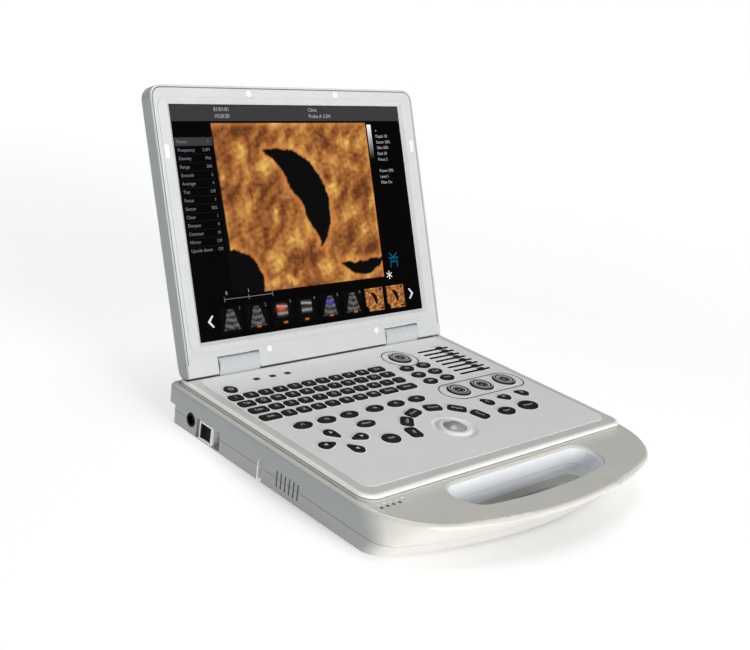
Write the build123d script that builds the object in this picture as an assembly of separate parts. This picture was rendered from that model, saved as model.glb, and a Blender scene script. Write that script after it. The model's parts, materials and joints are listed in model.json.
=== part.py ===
"""Portable laptop-style ultrasound scanner, in millimetres.

Device frame used while modelling: X to the user's right, Y away from the user, Z up.
X = 0 is the middle plane, Y = 0 the front foot of the key deck, Z = 0 the underside of the case.
Everything is moved at the end so that the origin is at the middle of the bounding box, on the table.
"""
from build123d import *
import os
from math import cos, radians, sin, sqrt

os.makedirs("parts", exist_ok=True)

# ---------------------------------------------------------------- driving dimensions
SCREEN_W, SCREEN_H = 304.1, 228.1      # active area of a 15-inch 4:3 panel
CASE_HALF_W = 182.0                    # widest half width of the case
CASE_TOP = 38.0                        # top face of the case
SPLIT_Z = 13.7                         # parting plane of the two case shells
HOLE_SPLIT_Z = 20.5                    # the parting line steps up inside the carrying handle
SEAM_H, SEAM_DEPTH = 0.35, 0.5         # groove that runs along the parting line
CASE_BACK = 277.0
LOWER_BACK = 263.0                     # the foot of the case ends short of the rear overhang
OVERHANG_Z = 19.0
WALL = 2.6
FOOT_H = 2.0
EDGE_R = 4.0

DECK_HALF_W = 177.4
DECK_FOOT_Z = 41.4
DECK_TOP = 44.1
DECK_BACK = 273.0
DECK_BEAD = 5.0                        # width of the sloped bead
PLATE_T = 2.5
GUTTER_Y = 256.5                       # the deck stops here to let the lid turn
GUTTER_Z = 40.6
PANEL_T = 0.4
PANEL_HALF_W = 166.0
PANEL_FRONT, PANEL_BACK = 14.3, 254.0
PANEL_TOP = DECK_TOP + PANEL_T

KEY_TOP = PANEL_TOP + 1.4
KEY_TRAVEL = 1.2
KEY_BOTTOM = 40.4
KEY_FLANGE = 0.9
KEY_GAP = 0.35                         # clearance of a key in its opening
MAT_Z = 36.6                           # underside of the key mat

HINGE_Y, HINGE_Z = 265.0, 52.0
LID_REST = 22.91                       # lean of the lid behind the vertical
LID_HALF_W = 173.75
LID_FRONT = -5.71                      # front face of the bezel, lid frame
LID_BACK = 12.8
LID_TOP = 269.8
LID_BOTTOM_R = 9.1
LCD_Y = -1.87
LCD_Z = 23.5                           # lower edge of the picture above the hinge axis
BARREL_IN, BARREL_OUT = 87.5, 136.7
HINGE_MID_X = 112.0                    # middle of each hinge's hidden parts
BARREL_R = 7.6
PIN_R = 3.0

HOLE_HALF_W = 95.6                     # carrying-handle opening
HOLE_FRONT, HOLE_BACK = -50.0, -4.7
HOLE_BOW_R = 500.0                     # its near side is bowed like the front of the case
HOLE_NEAR_R, HOLE_FAR_R = 22.0, 16.0   # corner radii at the top
HOLE_LEAN, HOLE_TAPER = 6.0, 2.0       # how far the near wall and the ends come in at the foot
HOLE_RIM, HOLE_RIM_DEPTH = 2.9, 2.6    # width and depth of the bevel round it

BALL_X, BALL_Y, BALL_Z, BALL_R = -3.5, 67.5, 33.3, 16.0


# ---------------------------------------------------------------- small helpers
def block(x0, x1, y0, y1, z0, z1):
    """Box given by its faces."""
    return Pos((x0 + x1) / 2, (y0 + y1) / 2, (z0 + z1) / 2) * Box(x1 - x0, y1 - y0, z1 - z0)


def slab(x0, x1, y0, y1, z0, z1, r):
    """Block whose four upright edges are rounded."""
    face = RectangleRounded(x1 - x0, y1 - y0, r)
    return Pos((x0 + x1) / 2, (y0 + y1) / 2, z0) * extrude(face, z1 - z0)


def rod(x, y, z0, z1, r):
    """Upright cylinder from z0 to z1."""
    return Pos(x, y, (z0 + z1) / 2) * Cylinder(r, z1 - z0)


def rod_x(x0, x1, y, z, r):
    """Cylinder along X from x0 to x1."""
    return Pos((x0 + x1) / 2, y, z) * Rot(0, 90, 0) * Cylinder(r, x1 - x0)


def both_sides(shape):
    """The shape and its mirror image across the middle plane, as one group."""
    return group([shape, mirror(shape, about=Plane.YZ)])


def solids_of(shape):
    """Every solid in a shape, however it is wrapped."""
    return list(shape.solids())


def group(shapes):
    """Separate solids kept in one node."""
    flat = [s for shape in shapes for s in solids_of(shape)]
    return Compound(children=flat)


def cut_all(body, cutters):
    """Take many separate cutters away from a body."""
    return body - [s for c in cutters for s in solids_of(c)]


# ---------------------------------------------------------------- case outline
def case_face(z, half_w, front_y, front_r, corner_r, back_y, inset=0.0, rear_r=8.0):
    """Plan at one height: straight sides and back, and a bowed front with round corners."""
    hw = half_w - inset
    front = front_y + inset
    back = back_y - inset
    big = front_r
    small = corner_r - inset
    rear = rear_r - inset
    cy0 = front + big
    cx = hw - small
    cy = cy0 - sqrt((big - small) ** 2 - cx ** 2)
    share = big / (big - small)
    tx, ty = cx * share, cy0 + (cy - cy0) * share
    mid_x = tx - cx + small
    mid_y = ty - cy
    size = sqrt(mid_x ** 2 + mid_y ** 2)
    mx, my = cx + small * mid_x / size, cy + small * mid_y / size
    k = rear * (1 - cos(radians(45)))
    edges = [
        Line((hw, cy), (hw, back - rear)),
        ThreePointArc((hw, back - rear), (hw - k, back - k), (hw - rear, back)),
        Line((hw - rear, back), (rear - hw, back)),
        ThreePointArc((rear - hw, back), (k - hw, back - k), (-hw, back - rear)),
        Line((-hw, back - rear), (-hw, cy)),
        ThreePointArc((-hw, cy), (-mx, my), (-tx, ty)),
        ThreePointArc((-tx, ty), (0, front), (tx, ty)),
        ThreePointArc((tx, ty), (mx, my), (hw, cy)),
    ]
    return Pos(0, 0, z) * make_face(edges)


def case_level(z, inset=0.0, back_y=CASE_BACK):
    """Plan at the three heights that shape the case: foot, parting plane and shoulder."""
    if z <= 0.5 + WALL:
        return case_face(z, 180.6, -50.0, 500.0, 22.0, back_y, inset)
    if z < 30:
        return case_face(z, 181.3, -60.0, 500.0, 25.0, back_y, inset)
    return case_face(z, CASE_HALF_W, -80.0, 420.0, 76.0, back_y, inset)


def hole_face(z, low, grow):
    """Plan of the carrying-handle opening, low being 0 at the top of the case and 1 at its foot."""
    lean = HOLE_LEAN * low
    half_w = HOLE_HALF_W - HOLE_TAPER * low
    return case_face(z, half_w, HOLE_FRONT + lean, HOLE_BOW_R, HOLE_NEAR_R - lean, HOLE_BACK,
                     -grow, HOLE_FAR_R)


def handle_hole(grow=0.0, z0=-1.0, z1=CASE_TOP + 1):
    """The opening of the carrying handle; its near wall leans back towards the foot."""
    ends = [hole_face(z, (CASE_TOP - z) / CASE_TOP, grow) for z in (z0, z1)]
    return loft(ends, ruled=True)


def hole_rim_cutter():
    """The wide bright bevel round the handle opening; its cone runs on into the opening."""
    low = hole_face(CASE_TOP - 2 * HOLE_RIM_DEPTH, 0, -HOLE_RIM)
    top = hole_face(CASE_TOP + 1, 0, HOLE_RIM * (1 + 1 / HOLE_RIM_DEPTH))
    return loft([low, top], ruled=True)


def seam_grooves():
    """Fine groove in the upper shell along the parting line, outside and inside the handle."""
    outside = extrude(case_level(SPLIT_Z, -2), SEAM_H) - extrude(case_level(SPLIT_Z, SEAM_DEPTH), SEAM_H)
    inside = handle_hole(SEAM_DEPTH, HOLE_SPLIT_Z, HOLE_SPLIT_Z + SEAM_H)
    return [outside, inside]


# ---------------------------------------------------------------- side fittings shared by both shells
SWITCH_Y0, SWITCH_Y1, SWITCH_DEPTH, SWITCH_TOP = 191.0, 228.0, 9.0, 20.5
NOTCH_Y0, NOTCH_Y1, NOTCH_DEPTH, NOTCH_TOP = 128.0, 134.0, 6.0, 21.0
JACK_Y, JACK_Z, JACK_R = 237.5, 13.9, 6.4
VENT_Y0, VENT_PITCH, VENTS, VENT_W = 78.5, 5.7, 6, 2.0
VENT_Z0, VENT_Z1 = 5.7, 21.0
PROBE_Y = (54.0, 134.0)
PROBE_W, PROBE_Z0, PROBE_Z1 = 70.0, 5.0, 31.0


ROCKER_X, ROCKER_Y, ROCKER_Z = -174.6, 212.5, 11.0


def switch_neck(grow):
    """Neck of the rocker frame, which passes through the back of its pocket."""
    x0 = -CASE_HALF_W + SWITCH_DEPTH
    y, z = 9.1 + grow, 8.2 + grow
    return block(x0, -160, ROCKER_Y - y, ROCKER_Y + y, ROCKER_Z - z, ROCKER_Z + z)


def side_bosses():
    """Inner walls behind the switch pocket and the lock notch."""
    pocket = block(-183, -171 + WALL - 1, SWITCH_Y0 - WALL, SWITCH_Y1 + WALL, 0, SWITCH_TOP + WALL)
    notch = block(-183, -CASE_HALF_W + NOTCH_DEPTH + WALL + 1,
                  NOTCH_Y0 - WALL, NOTCH_Y1 + WALL, 0, NOTCH_TOP + WALL)
    return [pocket, notch]


def side_cutters():
    """Pocket, notch, inlet hole, vents and probe windows."""
    wall_x = -CASE_HALF_W
    cutters = [
        block(wall_x - 2, wall_x + SWITCH_DEPTH + 1, SWITCH_Y0, SWITCH_Y1, 1.6, SWITCH_TOP),
        block(wall_x - 2, wall_x + NOTCH_DEPTH, NOTCH_Y0, NOTCH_Y1, -1, NOTCH_TOP),
        rod_x(wall_x - 2, wall_x + 8, JACK_Y, JACK_Z, JACK_R + 0.1),
        Pos(wall_x + 0.9, JACK_Y, JACK_Z) * Rot(0, 90, 0) * Cone(JACK_R + 2.4, JACK_R, 2.4),
    ]
    for i in range(VENTS):
        y = VENT_Y0 + i * VENT_PITCH
        cutters.append(block(wall_x - 2, wall_x + 5, y - VENT_W / 2, y + VENT_W / 2, VENT_Z0, VENT_Z1))
    for y in PROBE_Y:
        cutters.append(block(-wall_x - 6, -wall_x + 2, y - PROBE_W / 2, y + PROBE_W / 2, PROBE_Z0, PROBE_Z1))
    return cutters


SCREW_SPOTS = [(sx * x, y) for sx in (-1, 1) for x, y in ((160, 6), (168, 175), (62, 6), (40, 250))]
SCREW_HEAD_R, SCREW_R, SCREW_L = 3.0, 1.45, 22.0
BATTERY = (-150.0, -34.0, 16.0, 62.0)              # x0, x1, y0, y1 of the battery bay
BATTERY_Z0, BATTERY_Z1 = 3.2, 27.0
SPEAKER = (100.0, 24.0, 17.0)                      # x, y, radius
SPEAKER_SLOT_PITCH = 4.4


def screw_post(x, y, z0, z1):
    """Round post for a case screw."""
    return rod(x, y, z0, z1, 4.5)


def bottom_case():
    shell = loft([case_level(0), case_level(SPLIT_Z)], ruled=True)
    inner = loft([case_level(WALL, WALL), case_level(SPLIT_Z, WALL)], ruled=True)
    body = shell - inner
    fill = [handle_hole(WALL, 0, HOLE_SPLIT_Z)] + [b & shell for b in side_bosses()]
    rear = block(-190, 190, LOWER_BACK - WALL, LOWER_BACK, 0, SPLIT_Z) & shell
    body = body + fill + rear
    for x, y in SCREW_SPOTS:
        body += screw_post(x, y, 1, SPLIT_Z)
    body -= block(-190, 190, LOWER_BACK, CASE_BACK + 1, -1, SPLIT_Z + 1)
    cutters = [handle_hole(0, -1, HOLE_SPLIT_Z + 1)] + side_cutters()
    for x, y in SCREW_SPOTS:
        cutters.append(rod(x, y, -1, 2.4, SCREW_HEAD_R + 0.2))
        cutters.append(rod(x, y, -1, SPLIT_Z + 1, SCREW_R + 0.1))
    cutters.append(switch_neck(0.1))
    x0, x1, y0, y1 = BATTERY
    cutters.append(slab(x0 - 0.4, x1 + 0.4, y0 - 0.4, y1 + 0.4, -1, 4, 4))
    sx, sy, sr = SPEAKER
    for i in range(-3, 4):
        y = i * SPEAKER_SLOT_PITCH
        half = sqrt(sr ** 2 - y ** 2) - 3
        cutters.append(block(sx - half, sx + half, sy + y - 0.9, sy + y + 0.9, -1, 4))
    return cut_all(body, cutters)


def rounded_top():
    """Outer form of the upper shell with its rounded shoulder."""
    lower = loft([case_level(SPLIT_Z), case_level(CASE_TOP - EDGE_R)], ruled=True)
    upper = extrude(case_level(CASE_TOP - EDGE_R), EDGE_R)
    rim = upper.faces().sort_by(Axis.Z)[-1].edges()
    return lower + fillet(rim, EDGE_R - 0.05)


DECK_WINDOW = (-168.0, 168.0, 12.0, 248.0)
REAR_WINDOW = (-52.0, 52.0, 22.3, 32.5)            # x0, x1, z0, z1


def top_case():
    shell = rounded_top()
    inner = loft([case_level(SPLIT_Z, WALL), case_level(CASE_TOP - EDGE_R, WALL)], ruled=True)
    inner += extrude(case_level(CASE_TOP - EDGE_R, WALL + 0.6), EDGE_R - WALL)
    inner -= block(-190, 190, LOWER_BACK - WALL, CASE_BACK, SPLIT_Z - 1, OVERHANG_Z + WALL)
    body = shell - inner
    ring = handle_hole(WALL + 1.0, HOLE_SPLIT_Z, CASE_TOP - 1) & shell
    body += [ring] + [(b & shell) & block(-190, 190, -90, 280, SPLIT_Z, 40) for b in side_bosses()]
    body -= block(-190, 190, LOWER_BACK, CASE_BACK + 1, SPLIT_Z - 1, OVERHANG_Z)
    for x, y in SCREW_SPOTS:
        body += screw_post(x, y, SPLIT_Z, CASE_TOP - 1)
    x0, x1, y0, y1 = DECK_WINDOW
    cutters = [handle_hole(0, SPLIT_Z - 1, CASE_TOP + 1), hole_rim_cutter(), switch_neck(0.1)]
    cutters += side_cutters() + seam_grooves()
    cutters.append(slab(x0, x1, y0, y1, CASE_TOP - 3.4, CASE_TOP + 1, 8))
    for x, y in SCREW_SPOTS:
        cutters.append(rod(x, y, SPLIT_Z - 1, 24.5, SCREW_R + 0.1))
    wx0, wx1, wz0, wz1 = REAR_WINDOW
    cutters.append(block(wx0, wx1, CASE_BACK - 6, CASE_BACK + 1, wz0, wz1))
    for x, y in LAMP_SPOTS:
        cutters.append(rod(x, y, CASE_TOP - 5, CASE_TOP + 1, LAMP_R + 0.1))
    for side in (-1, 1):
        cutters.append(hinge_foot_slot(side))
    return cut_all(body, cutters)


LAMP_SPOTS = [(-168.0 + 6.8 * i, -7.3) for i in range(5)]
LAMP_R = 1.5


def hinge_foot_slot(side):
    """Room in the case top for the tail of a hinge barrel."""
    x = side * (BARREL_IN + BARREL_OUT) / 2
    return block(x - 18, x + 18, HINGE_Y - 4.2, HINGE_Y + 4.2, CASE_TOP - 4, DECK_TOP)


# ---------------------------------------------------------------- key layout
KEY_H = 10.6
KEY_SPACE = 3.05
KEYS_LEFT = -163.4
ROW_Y = (205.4, 190.5, 174.7, 158.3)
PLAIN = 14.7
ROWS = (
    [PLAIN] * 10 + [19.7],
    [17.7] + [PLAIN] * 9 + [16.7],
    [20.7] + [PLAIN] * 9 + [13.7],
    [22.7] + [PLAIN] * 7 + [20.7, 23.45],
)
BAR_CORNER = 0.3                                   # corner radius of a bar key over its height
DROP_TIP_R, DROP_BUTT = 1.9, 0.42


def row_keys(index):
    """Centre, size and turn of every key of one row, laid from the left edge."""
    left = KEYS_LEFT
    places = []
    for width in ROWS[index]:
        places.append(("bar", left + width / 2, ROW_Y[index], width, KEY_H, 0))
        left += width + KEY_SPACE
    return places


FUNCTION_Y = 131.5
FUNCTION_X = (-136.1, -107.8, -80.0, -47.3, -19.1, 9.2)
PAD_X, PAD_Y = -123.2, 90.4
ARC_RX, ARC_RY = 47.5, 42.75                       # half axes of the arc of keys round the ball
ARC_KEYS = (169, 138, 109, 75, 43.5, 13)           # and the place of each key along it, in degrees

NUMBER_KEYS = row_keys(0)
LETTER_KEYS = row_keys(1) + row_keys(2) + row_keys(3)
FUNCTION_KEYS = [("oval", x, FUNCTION_Y, 20.6, 12.2, 0) for x in FUNCTION_X]
ARROW_KEYS = [
    ("drop", PAD_X, PAD_Y + 15.8, 17.5, 14.6, 290),
    ("drop", PAD_X - 19.0, PAD_Y, 18.0, 14.6, 0),
    ("drop", PAD_X + 19.0, PAD_Y, 18.0, 14.6, 180),
    ("drop", PAD_X, PAD_Y - 15.8, 17.5, 14.6, 110),
    ("oval", -79.1, 109.2, 21.0, 12.0, 0),
    ("oval", -79.1, 75.5, 19.0, 17.0, 0),
]
SCAN_KEYS = [
    ("bar", BALL_X + ARC_RX * cos(radians(a)), BALL_Y + ARC_RY * sin(radians(a)), 19.0, 12.6, a - 90)
    for a in ARC_KEYS
]
SCAN_KEYS += [("oval", 76.2, 71.2, 20.8, 15.2, 0), ("oval", 109.3, 71.5, 24.0, 18.4, 0)]
SCAN_KEYS += [("drop", 74.2, 95.4, 16.0, 14.0, 118), ("drop", 101.0, 96.6, 16.0, 14.0, 160),
              ("drop", 128.8, 96.6, 16.0, 14.0, 138)]
SCAN_KEYS += [("oval", x, y, 18.0, 12.5, 0) for x in (57.8, 82.6) for y in (194.5, 176.9, 159.3)]
POWER_KEY = [("oval", -149.0, 223.2, 14.0, 14.0, 0)]
LENSES = [("bar", x, 235.4, 7.4, 5.2, 0) for x in (-108.8, -88.9, -70.0)]


def key_face(kind, width, height, grow=0.0):
    """Plan of one key cap."""
    if kind == "bar":
        return RectangleRounded(width + 2 * grow, height + 2 * grow, height * BAR_CORNER + grow)
    if kind == "oval":
        return Ellipse(width / 2 + grow, height / 2 + grow)
    butt_r = height * DROP_BUTT
    tip = Pos(width / 2 - DROP_TIP_R, 0) * Circle(DROP_TIP_R + grow)
    butt = Pos(-width / 2 + butt_r, 0) * Circle(butt_r + grow)
    return make_hull(tip.edges() + butt.edges())


def key_prism(key, z0, z1, grow=0.0):
    kind, x, y, width, height, turn = key
    face = key_face(kind, width, height, grow)
    return Pos(x, y, z0) * Rot(0, 0, turn) * extrude(face, z1 - z0, dir=(0, 0, 1))


def key_cap(key):
    """One key: the cap and the flange that keeps it under the plate."""
    return key_prism(key, KEY_BOTTOM, KEY_TOP) + key_prism(key, KEY_BOTTOM, KEY_BOTTOM + 0.8, KEY_FLANGE)


def key_group(keys):
    return group([key_cap(k) for k in keys])


ALL_KEYS = NUMBER_KEYS + LETTER_KEYS + FUNCTION_KEYS + ARROW_KEYS + SCAN_KEYS + POWER_KEY

# ---------------------------------------------------------------- knobs and slides
KNOB_R = 12.8
KNOB_H = 1.7
KNOB_SHAFT_R = 3.0
GAIN_KNOB = (72.0, 219.5)
ROTARY_KNOBS = ((68.0, 129.0), (103.2, 129.0), (138.4, 129.0))
SLIDE_X0, SLIDE_X1, SLIDE_REST = 104.5, 152.0, 138.0
SLIDE_Y0, SLIDE_PITCH, SLIDES = 160.9, 9.07, 8
SLOT_W = 3.2
STEM_L, STEM_W = 3.6, 2.2
DISH_R = 23.0


def slide_y(index):
    return SLIDE_Y0 + SLIDE_PITCH * index


def deck_cutters(z0, z1):
    """Every opening that goes through both the deck plate and its overlay."""
    cutters = [key_prism(k, z0, z1, KEY_GAP) for k in ALL_KEYS]
    cutters += [key_prism(k, z0, z1, 0.05) for k in LENSES]
    cutters += [rod(x, y, z0, z1, KNOB_SHAFT_R + 1.0) for x, y in (GAIN_KNOB,) + ROTARY_KNOBS]
    for i in range(SLIDES):
        y = slide_y(i)
        cutters.append(slab(SLIDE_X0, SLIDE_X1, y - SLOT_W / 2, y + SLOT_W / 2, z0, z1, SLOT_W / 2 - 0.05))
    cutters.append(rod(BALL_X, BALL_Y, z0, z1, DISH_R + 0.1))
    return cutters


def deck_frame():
    def face(z, inset):
        size = RectangleRounded(2 * (DECK_HALF_W - inset), DECK_BACK - 2 * inset, 15.0 - inset)
        return Pos(0, DECK_BACK / 2, z) * size

    body = extrude(face(CASE_TOP, 0), DECK_FOOT_Z - CASE_TOP)
    body += loft([face(DECK_FOOT_Z, 0), face(DECK_FOOT_Z + 1.9, 1.6)], ruled=True)
    body += loft([face(DECK_FOOT_Z + 1.9, 1.6), face(DECK_TOP, DECK_BEAD)], ruled=True)
    body -= slab(-170, 170, 8, 250, CASE_TOP - 1, DECK_TOP - PLATE_T, 8)
    body -= block(-174.8, 174.8, GUTTER_Y, DECK_BACK + 1, GUTTER_Z, DECK_TOP + 1)
    feet = [hinge_foot_slot(side) for side in (-1, 1)]
    return cut_all(body, feet + deck_cutters(CASE_TOP - 1, DECK_TOP + 1))


def deck_panel():
    body = slab(-PANEL_HALF_W, PANEL_HALF_W, PANEL_FRONT, PANEL_BACK, DECK_TOP, PANEL_TOP, 13)
    return cut_all(body, deck_cutters(DECK_TOP - 1, PANEL_TOP + 1))


def key_mat():
    """Silicone sheet with a dome under every key."""
    body = slab(-165.5, 37, 66, 232, MAT_Z, MAT_Z + 1, 5)
    body += slab(37, 150, 60, 108, MAT_Z, MAT_Z + 1, 5)
    body += slab(46, 92, 151, 204, MAT_Z, MAT_Z + 1, 5)
    body -= rod(BALL_X, BALL_Y, MAT_Z - 1, MAT_Z + 2, 21.5)
    body += [rod(k[1], k[2], MAT_Z + 0.5, KEY_BOTTOM - KEY_TRAVEL - 0.3, 3.0) for k in ALL_KEYS]
    return body


def keypad_board():
    body = slab(-166, 160, 60, 246, MAT_Z - 1.6, MAT_Z, 4)
    body -= rod(BALL_X, BALL_Y, 30, 40, 21.5)
    body -= block(96, 161, 152, 232, 30, 40)
    for x, y in (GAIN_KNOB,) + ROTARY_KNOBS:
        body -= block(x - 7.2, x + 7.2, y - 7.2, y + 7.2, 30, 40)
    body -= block(-170, -155.4, 165, 185, 30, 40)
    body -= block(155.4, 170, 165, 185, 30, 40)
    return body


def knob(x, y):
    """Flat round knob: skirt, raised rim with a shallow dish, and its shaft."""
    z = PANEL_TOP + 0.3
    top = z + KNOB_H
    profile = Polyline(
        (0, z), (KNOB_R, z), (KNOB_R, z + 0.7), (KNOB_R - 1.1, top), (KNOB_R - 3.4, top),
        (KNOB_R - 4.2, top - 0.5), (0, top - 0.5), (0, z),
    )
    body = revolve(Plane.XZ * make_face(profile), Axis.Z)
    body += rod(0, 0, 33.0, z + 0.5, KNOB_SHAFT_R)
    return Pos(x, y, 0) * body


def knob_encoders():
    """Square encoder cans with the bore that each knob's shaft turns in."""
    cans = []
    for x, y in (GAIN_KNOB,) + ROTARY_KNOBS:
        can = block(x - 7, x + 7, y - 7, y + 7, 28, 40.5)
        cans.append(can - rod(x, y, 32, 41, KNOB_SHAFT_R + 0.05))
    return group(cans)


def gain_slide(index):
    """Sliding cap, its stem through the slot and the wiper block below the plate."""
    x, y = SLIDE_REST, slide_y(index)
    cap_z = PANEL_TOP + 0.3
    cap = slab(x - 4.8, x + 4.8, y - 2.9, y + 2.9, cap_z, cap_z + 1.2, 2.6)
    ridge = slab(x - 1.3, x + 1.3, y - 2.4, y + 2.4, cap_z + 0.7, cap_z + 1.9, 0.8)
    stem = block(x - STEM_L / 2, x + STEM_L / 2, y - STEM_W / 2, y + STEM_W / 2, 39.6, cap_z + 0.5)
    wiper = block(x - 3.2, x + 3.2, y - 2.8, y + 2.8, 39.4, 41.2)
    return cap + ridge + stem + wiper


def slide_board():
    """Board that carries the eight resistive tracks."""
    body = block(98, 158, 154, 230, 35.0, 36.6)
    tracks = []
    for i in range(SLIDES):
        y = slide_y(i)
        tracks.append(block(SLIDE_X0 - 3, SLIDE_X1 + 3, y - 2.6, y + 2.6, 36.6, 39.0))
    return body + tracks


# ---------------------------------------------------------------- trackball
def trackball_ring():
    """Sloped dish with the raised ring that keeps the ball in."""
    low = DECK_TOP - PLATE_T
    mouth = 13.1
    profile = Polyline(
        (mouth, low + 1.7), (mouth, PANEL_TOP + 0.5), (13.9, PANEL_TOP + 0.9), (16.0, PANEL_TOP + 0.5),
        (17.6, PANEL_TOP - 1.8), (DISH_R, PANEL_TOP), (DISH_R, low + 0.2), (17.0, low + 0.2),
        (16.4, low + 1.7), (mouth, low + 1.7),
    )
    return Pos(BALL_X, BALL_Y, 0) * revolve(Plane.XZ * make_face(profile), Axis.Z)


def trackball_housing():
    """Cup round the lower part of the ball."""
    cup = rod(BALL_X, BALL_Y, 14.0, 41.4, 20.0)
    ball_room = Pos(BALL_X, BALL_Y, BALL_Z) * Sphere(BALL_R + 0.5)
    mouth = rod(BALL_X, BALL_Y, BALL_Z, 42, BALL_R + 0.5)
    return cup - ball_room - mouth


def trackball():
    return Pos(BALL_X, BALL_Y, BALL_Z) * Sphere(BALL_R)


# ---------------------------------------------------------------- inner pieces
def board(x0, x1, y0, y1, z, chips):
    """Circuit board with its larger components."""
    body = block(x0, x1, y0, y1, z, z + 1.6)
    return body + [block(cx - w / 2, cx + w / 2, cy - d / 2, cy + d / 2, z + 1.6, z + 1.6 + h)
                   for cx, cy, w, d, h in chips]


def main_board():
    chips = [(-20, 180, 30, 30, 2.5), (-70, 150, 16, 22, 1.2), (-70, 180, 16, 22, 1.2),
             (30, 130, 20, 20, 1.6), (-20, 120, 12, 12, 1.4), (10, 225, 60, 14, 2.6)]
    return board(-100, 70, 94, 244, 7.5, chips)


def beamformer_board():
    chips = [(x, y, 12, 12, 1.2) for x in (86, 104, 122) for y in (70, 96, 122, 148)]
    return board(76, 132, 56, 168, 15.0, chips)


def shield_can():
    """Folded metal lid over the receive circuits."""
    outer = block(77, 131, 57, 167, 16.6, 26.0)
    return outer - block(77.6, 130.4, 57.6, 166.4, 15, 25.4)


def power_board():
    chips = [(-150, 200, 12, 12, 12), (-136, 216, 14, 10, 10), (-122, 196, 10, 10, 8), (-140, 182, 18, 8, 6)]
    return board(-160, -106, 172, 246, 7.5, chips)


def heat_sink():
    body = block(-150, -106, 78, 107, 5.0, 8.0)
    return body + [block(-150, -106, y, y + 1.2, 8.0, 26.0) for y in [78 + 3.97 * i for i in range(8)]]


FAN_X, FAN_Y, FAN_Z, FAN_R = -171.0, 92.7, 18.6, 13.2


def fan_frame():
    body = block(FAN_X - 5, FAN_X + 5, FAN_Y - 15.5, FAN_Y + 15.5, FAN_Z - 15.5, FAN_Z + 15.5)
    body -= rod_x(FAN_X - 6, FAN_X + 6, FAN_Y, FAN_Z, FAN_R + 0.6)
    body += rod_x(FAN_X + 3.4, FAN_X + 5, FAN_Y, FAN_Z, 6.0)
    for turn in (45, 135):
        body += Pos(FAN_X + 4.2, FAN_Y, FAN_Z) * Rot(turn, 0, 0) * Box(1.6, 2 * FAN_R + 2, 2.4)
    body += rod_x(FAN_X - 3.0, FAN_X + 4.0, FAN_Y, FAN_Z, 1.0)
    return body


def fan_rotor():
    """Hub with seven twisted blades, turning on the frame's spindle."""
    hub = rod_x(FAN_X - 4.2, FAN_X + 2.8, FAN_Y, FAN_Z, 6.0)
    blade = Pos(-0.7, 0, 9.2) * Rot(0, 0, 38) * Box(1.0, 7.0, 7.6)
    blades = [Pos(FAN_X, FAN_Y, FAN_Z) * Rot(360 / 7 * i, 0, 0) * blade for i in range(7)]
    body = hub + blades
    return body - rod_x(FAN_X - 3.4, FAN_X + 3.4, FAN_Y, FAN_Z, 1.06)


def battery_pack():
    x0, x1, y0, y1 = BATTERY
    return slab(x0 + 1, x1 - 1, y0 + 1, y1 - 1, BATTERY_Z0, BATTERY_Z1, 5)


def battery_door():
    x0, x1, y0, y1 = BATTERY
    door = slab(x0, x1, y0, y1, 0.0, 2.4, 4)
    grips = [block(x0 + 8, x0 + 20, y - 0.8, y + 0.8, -1, 0.8) for y in (35, 39, 43)]
    return cut_all(door, grips)


def speaker():
    x, y, r = SPEAKER
    basket = rod(x, y, WALL, 9.0, r)
    magnet = rod(x, y, 9.0, 12.6, r * 0.55)
    cone = Pos(x, y, WALL + 1.5) * Cone(r - 2, 5, 3)
    return basket + magnet - cone


def case_screws():
    screws = []
    for x, y in SCREW_SPOTS:
        head = rod(x, y, 0.6, 2.4, SCREW_HEAD_R) - Pos(x, y, 0.6) * Box(4, 0.8, 1.4)
        head -= Pos(x, y, 0.6) * Box(0.8, 4, 1.4)
        screws.append(head + rod(x, y, 2.0, 2.0 + SCREW_L, SCREW_R))
    return group(screws)


FEET = [(sx * 150, y) for sx in (-1, 1) for y in (-8, 238)]
FOOT_R = 9.0


def rubber_feet():
    feet = []
    for x, y in FEET:
        foot = Pos(x, y, -FOOT_H / 2) * Cone(FOOT_R - 1.2, FOOT_R, FOOT_H)
        feet.append(foot)
    return group(feet)


# ---------------------------------------------------------------- connectors
def dc_socket():
    """Round power inlet with its contact pin."""
    x0 = -CASE_HALF_W + 1.2
    body = rod_x(x0, x0 + 14, JACK_Y, JACK_Z, JACK_R)
    body -= rod_x(x0 - 1, x0 + 10, JACK_Y, JACK_Z, 4.6)
    return body + rod_x(x0 + 2, x0 + 11, JACK_Y, JACK_Z, 1.1)


def rocker_frame():
    """Bezel block that stands in the middle of the switch pocket, with its neck through the wall."""
    flange_back = -CASE_HALF_W + SWITCH_DEPTH + 1
    body = block(-CASE_HALF_W + 0.6, flange_back, ROCKER_Y - 9.9, ROCKER_Y + 9.9, 1.8, 20.2)
    body += switch_neck(0)
    body -= block(-190, -167.0, ROCKER_Y - 8.1, ROCKER_Y + 8.1, ROCKER_Z - 7.3, ROCKER_Z + 7.3)
    return body - rod(ROCKER_X, ROCKER_Y, ROCKER_Z - 8.7, ROCKER_Z + 8.7, 1.05)


def rocker_switch():
    """Black rocker with its off end pressed, on a cross pin."""
    profile = Polyline(
        (-6.4, -7.2), (-5.6, 0), (-6.4, 7.2), (2.0, 7.2), (3.6, 0), (2.0, -7.2), (-6.4, -7.2),
    )
    body = Pos(0, 0, -7.0) * extrude(make_face(profile), 14.0)
    body += rod(0, 0, -8.6, 8.6, 1.0)
    return Pos(ROCKER_X, ROCKER_Y, ROCKER_Z) * Rot(0, 0, 5) * body


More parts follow.
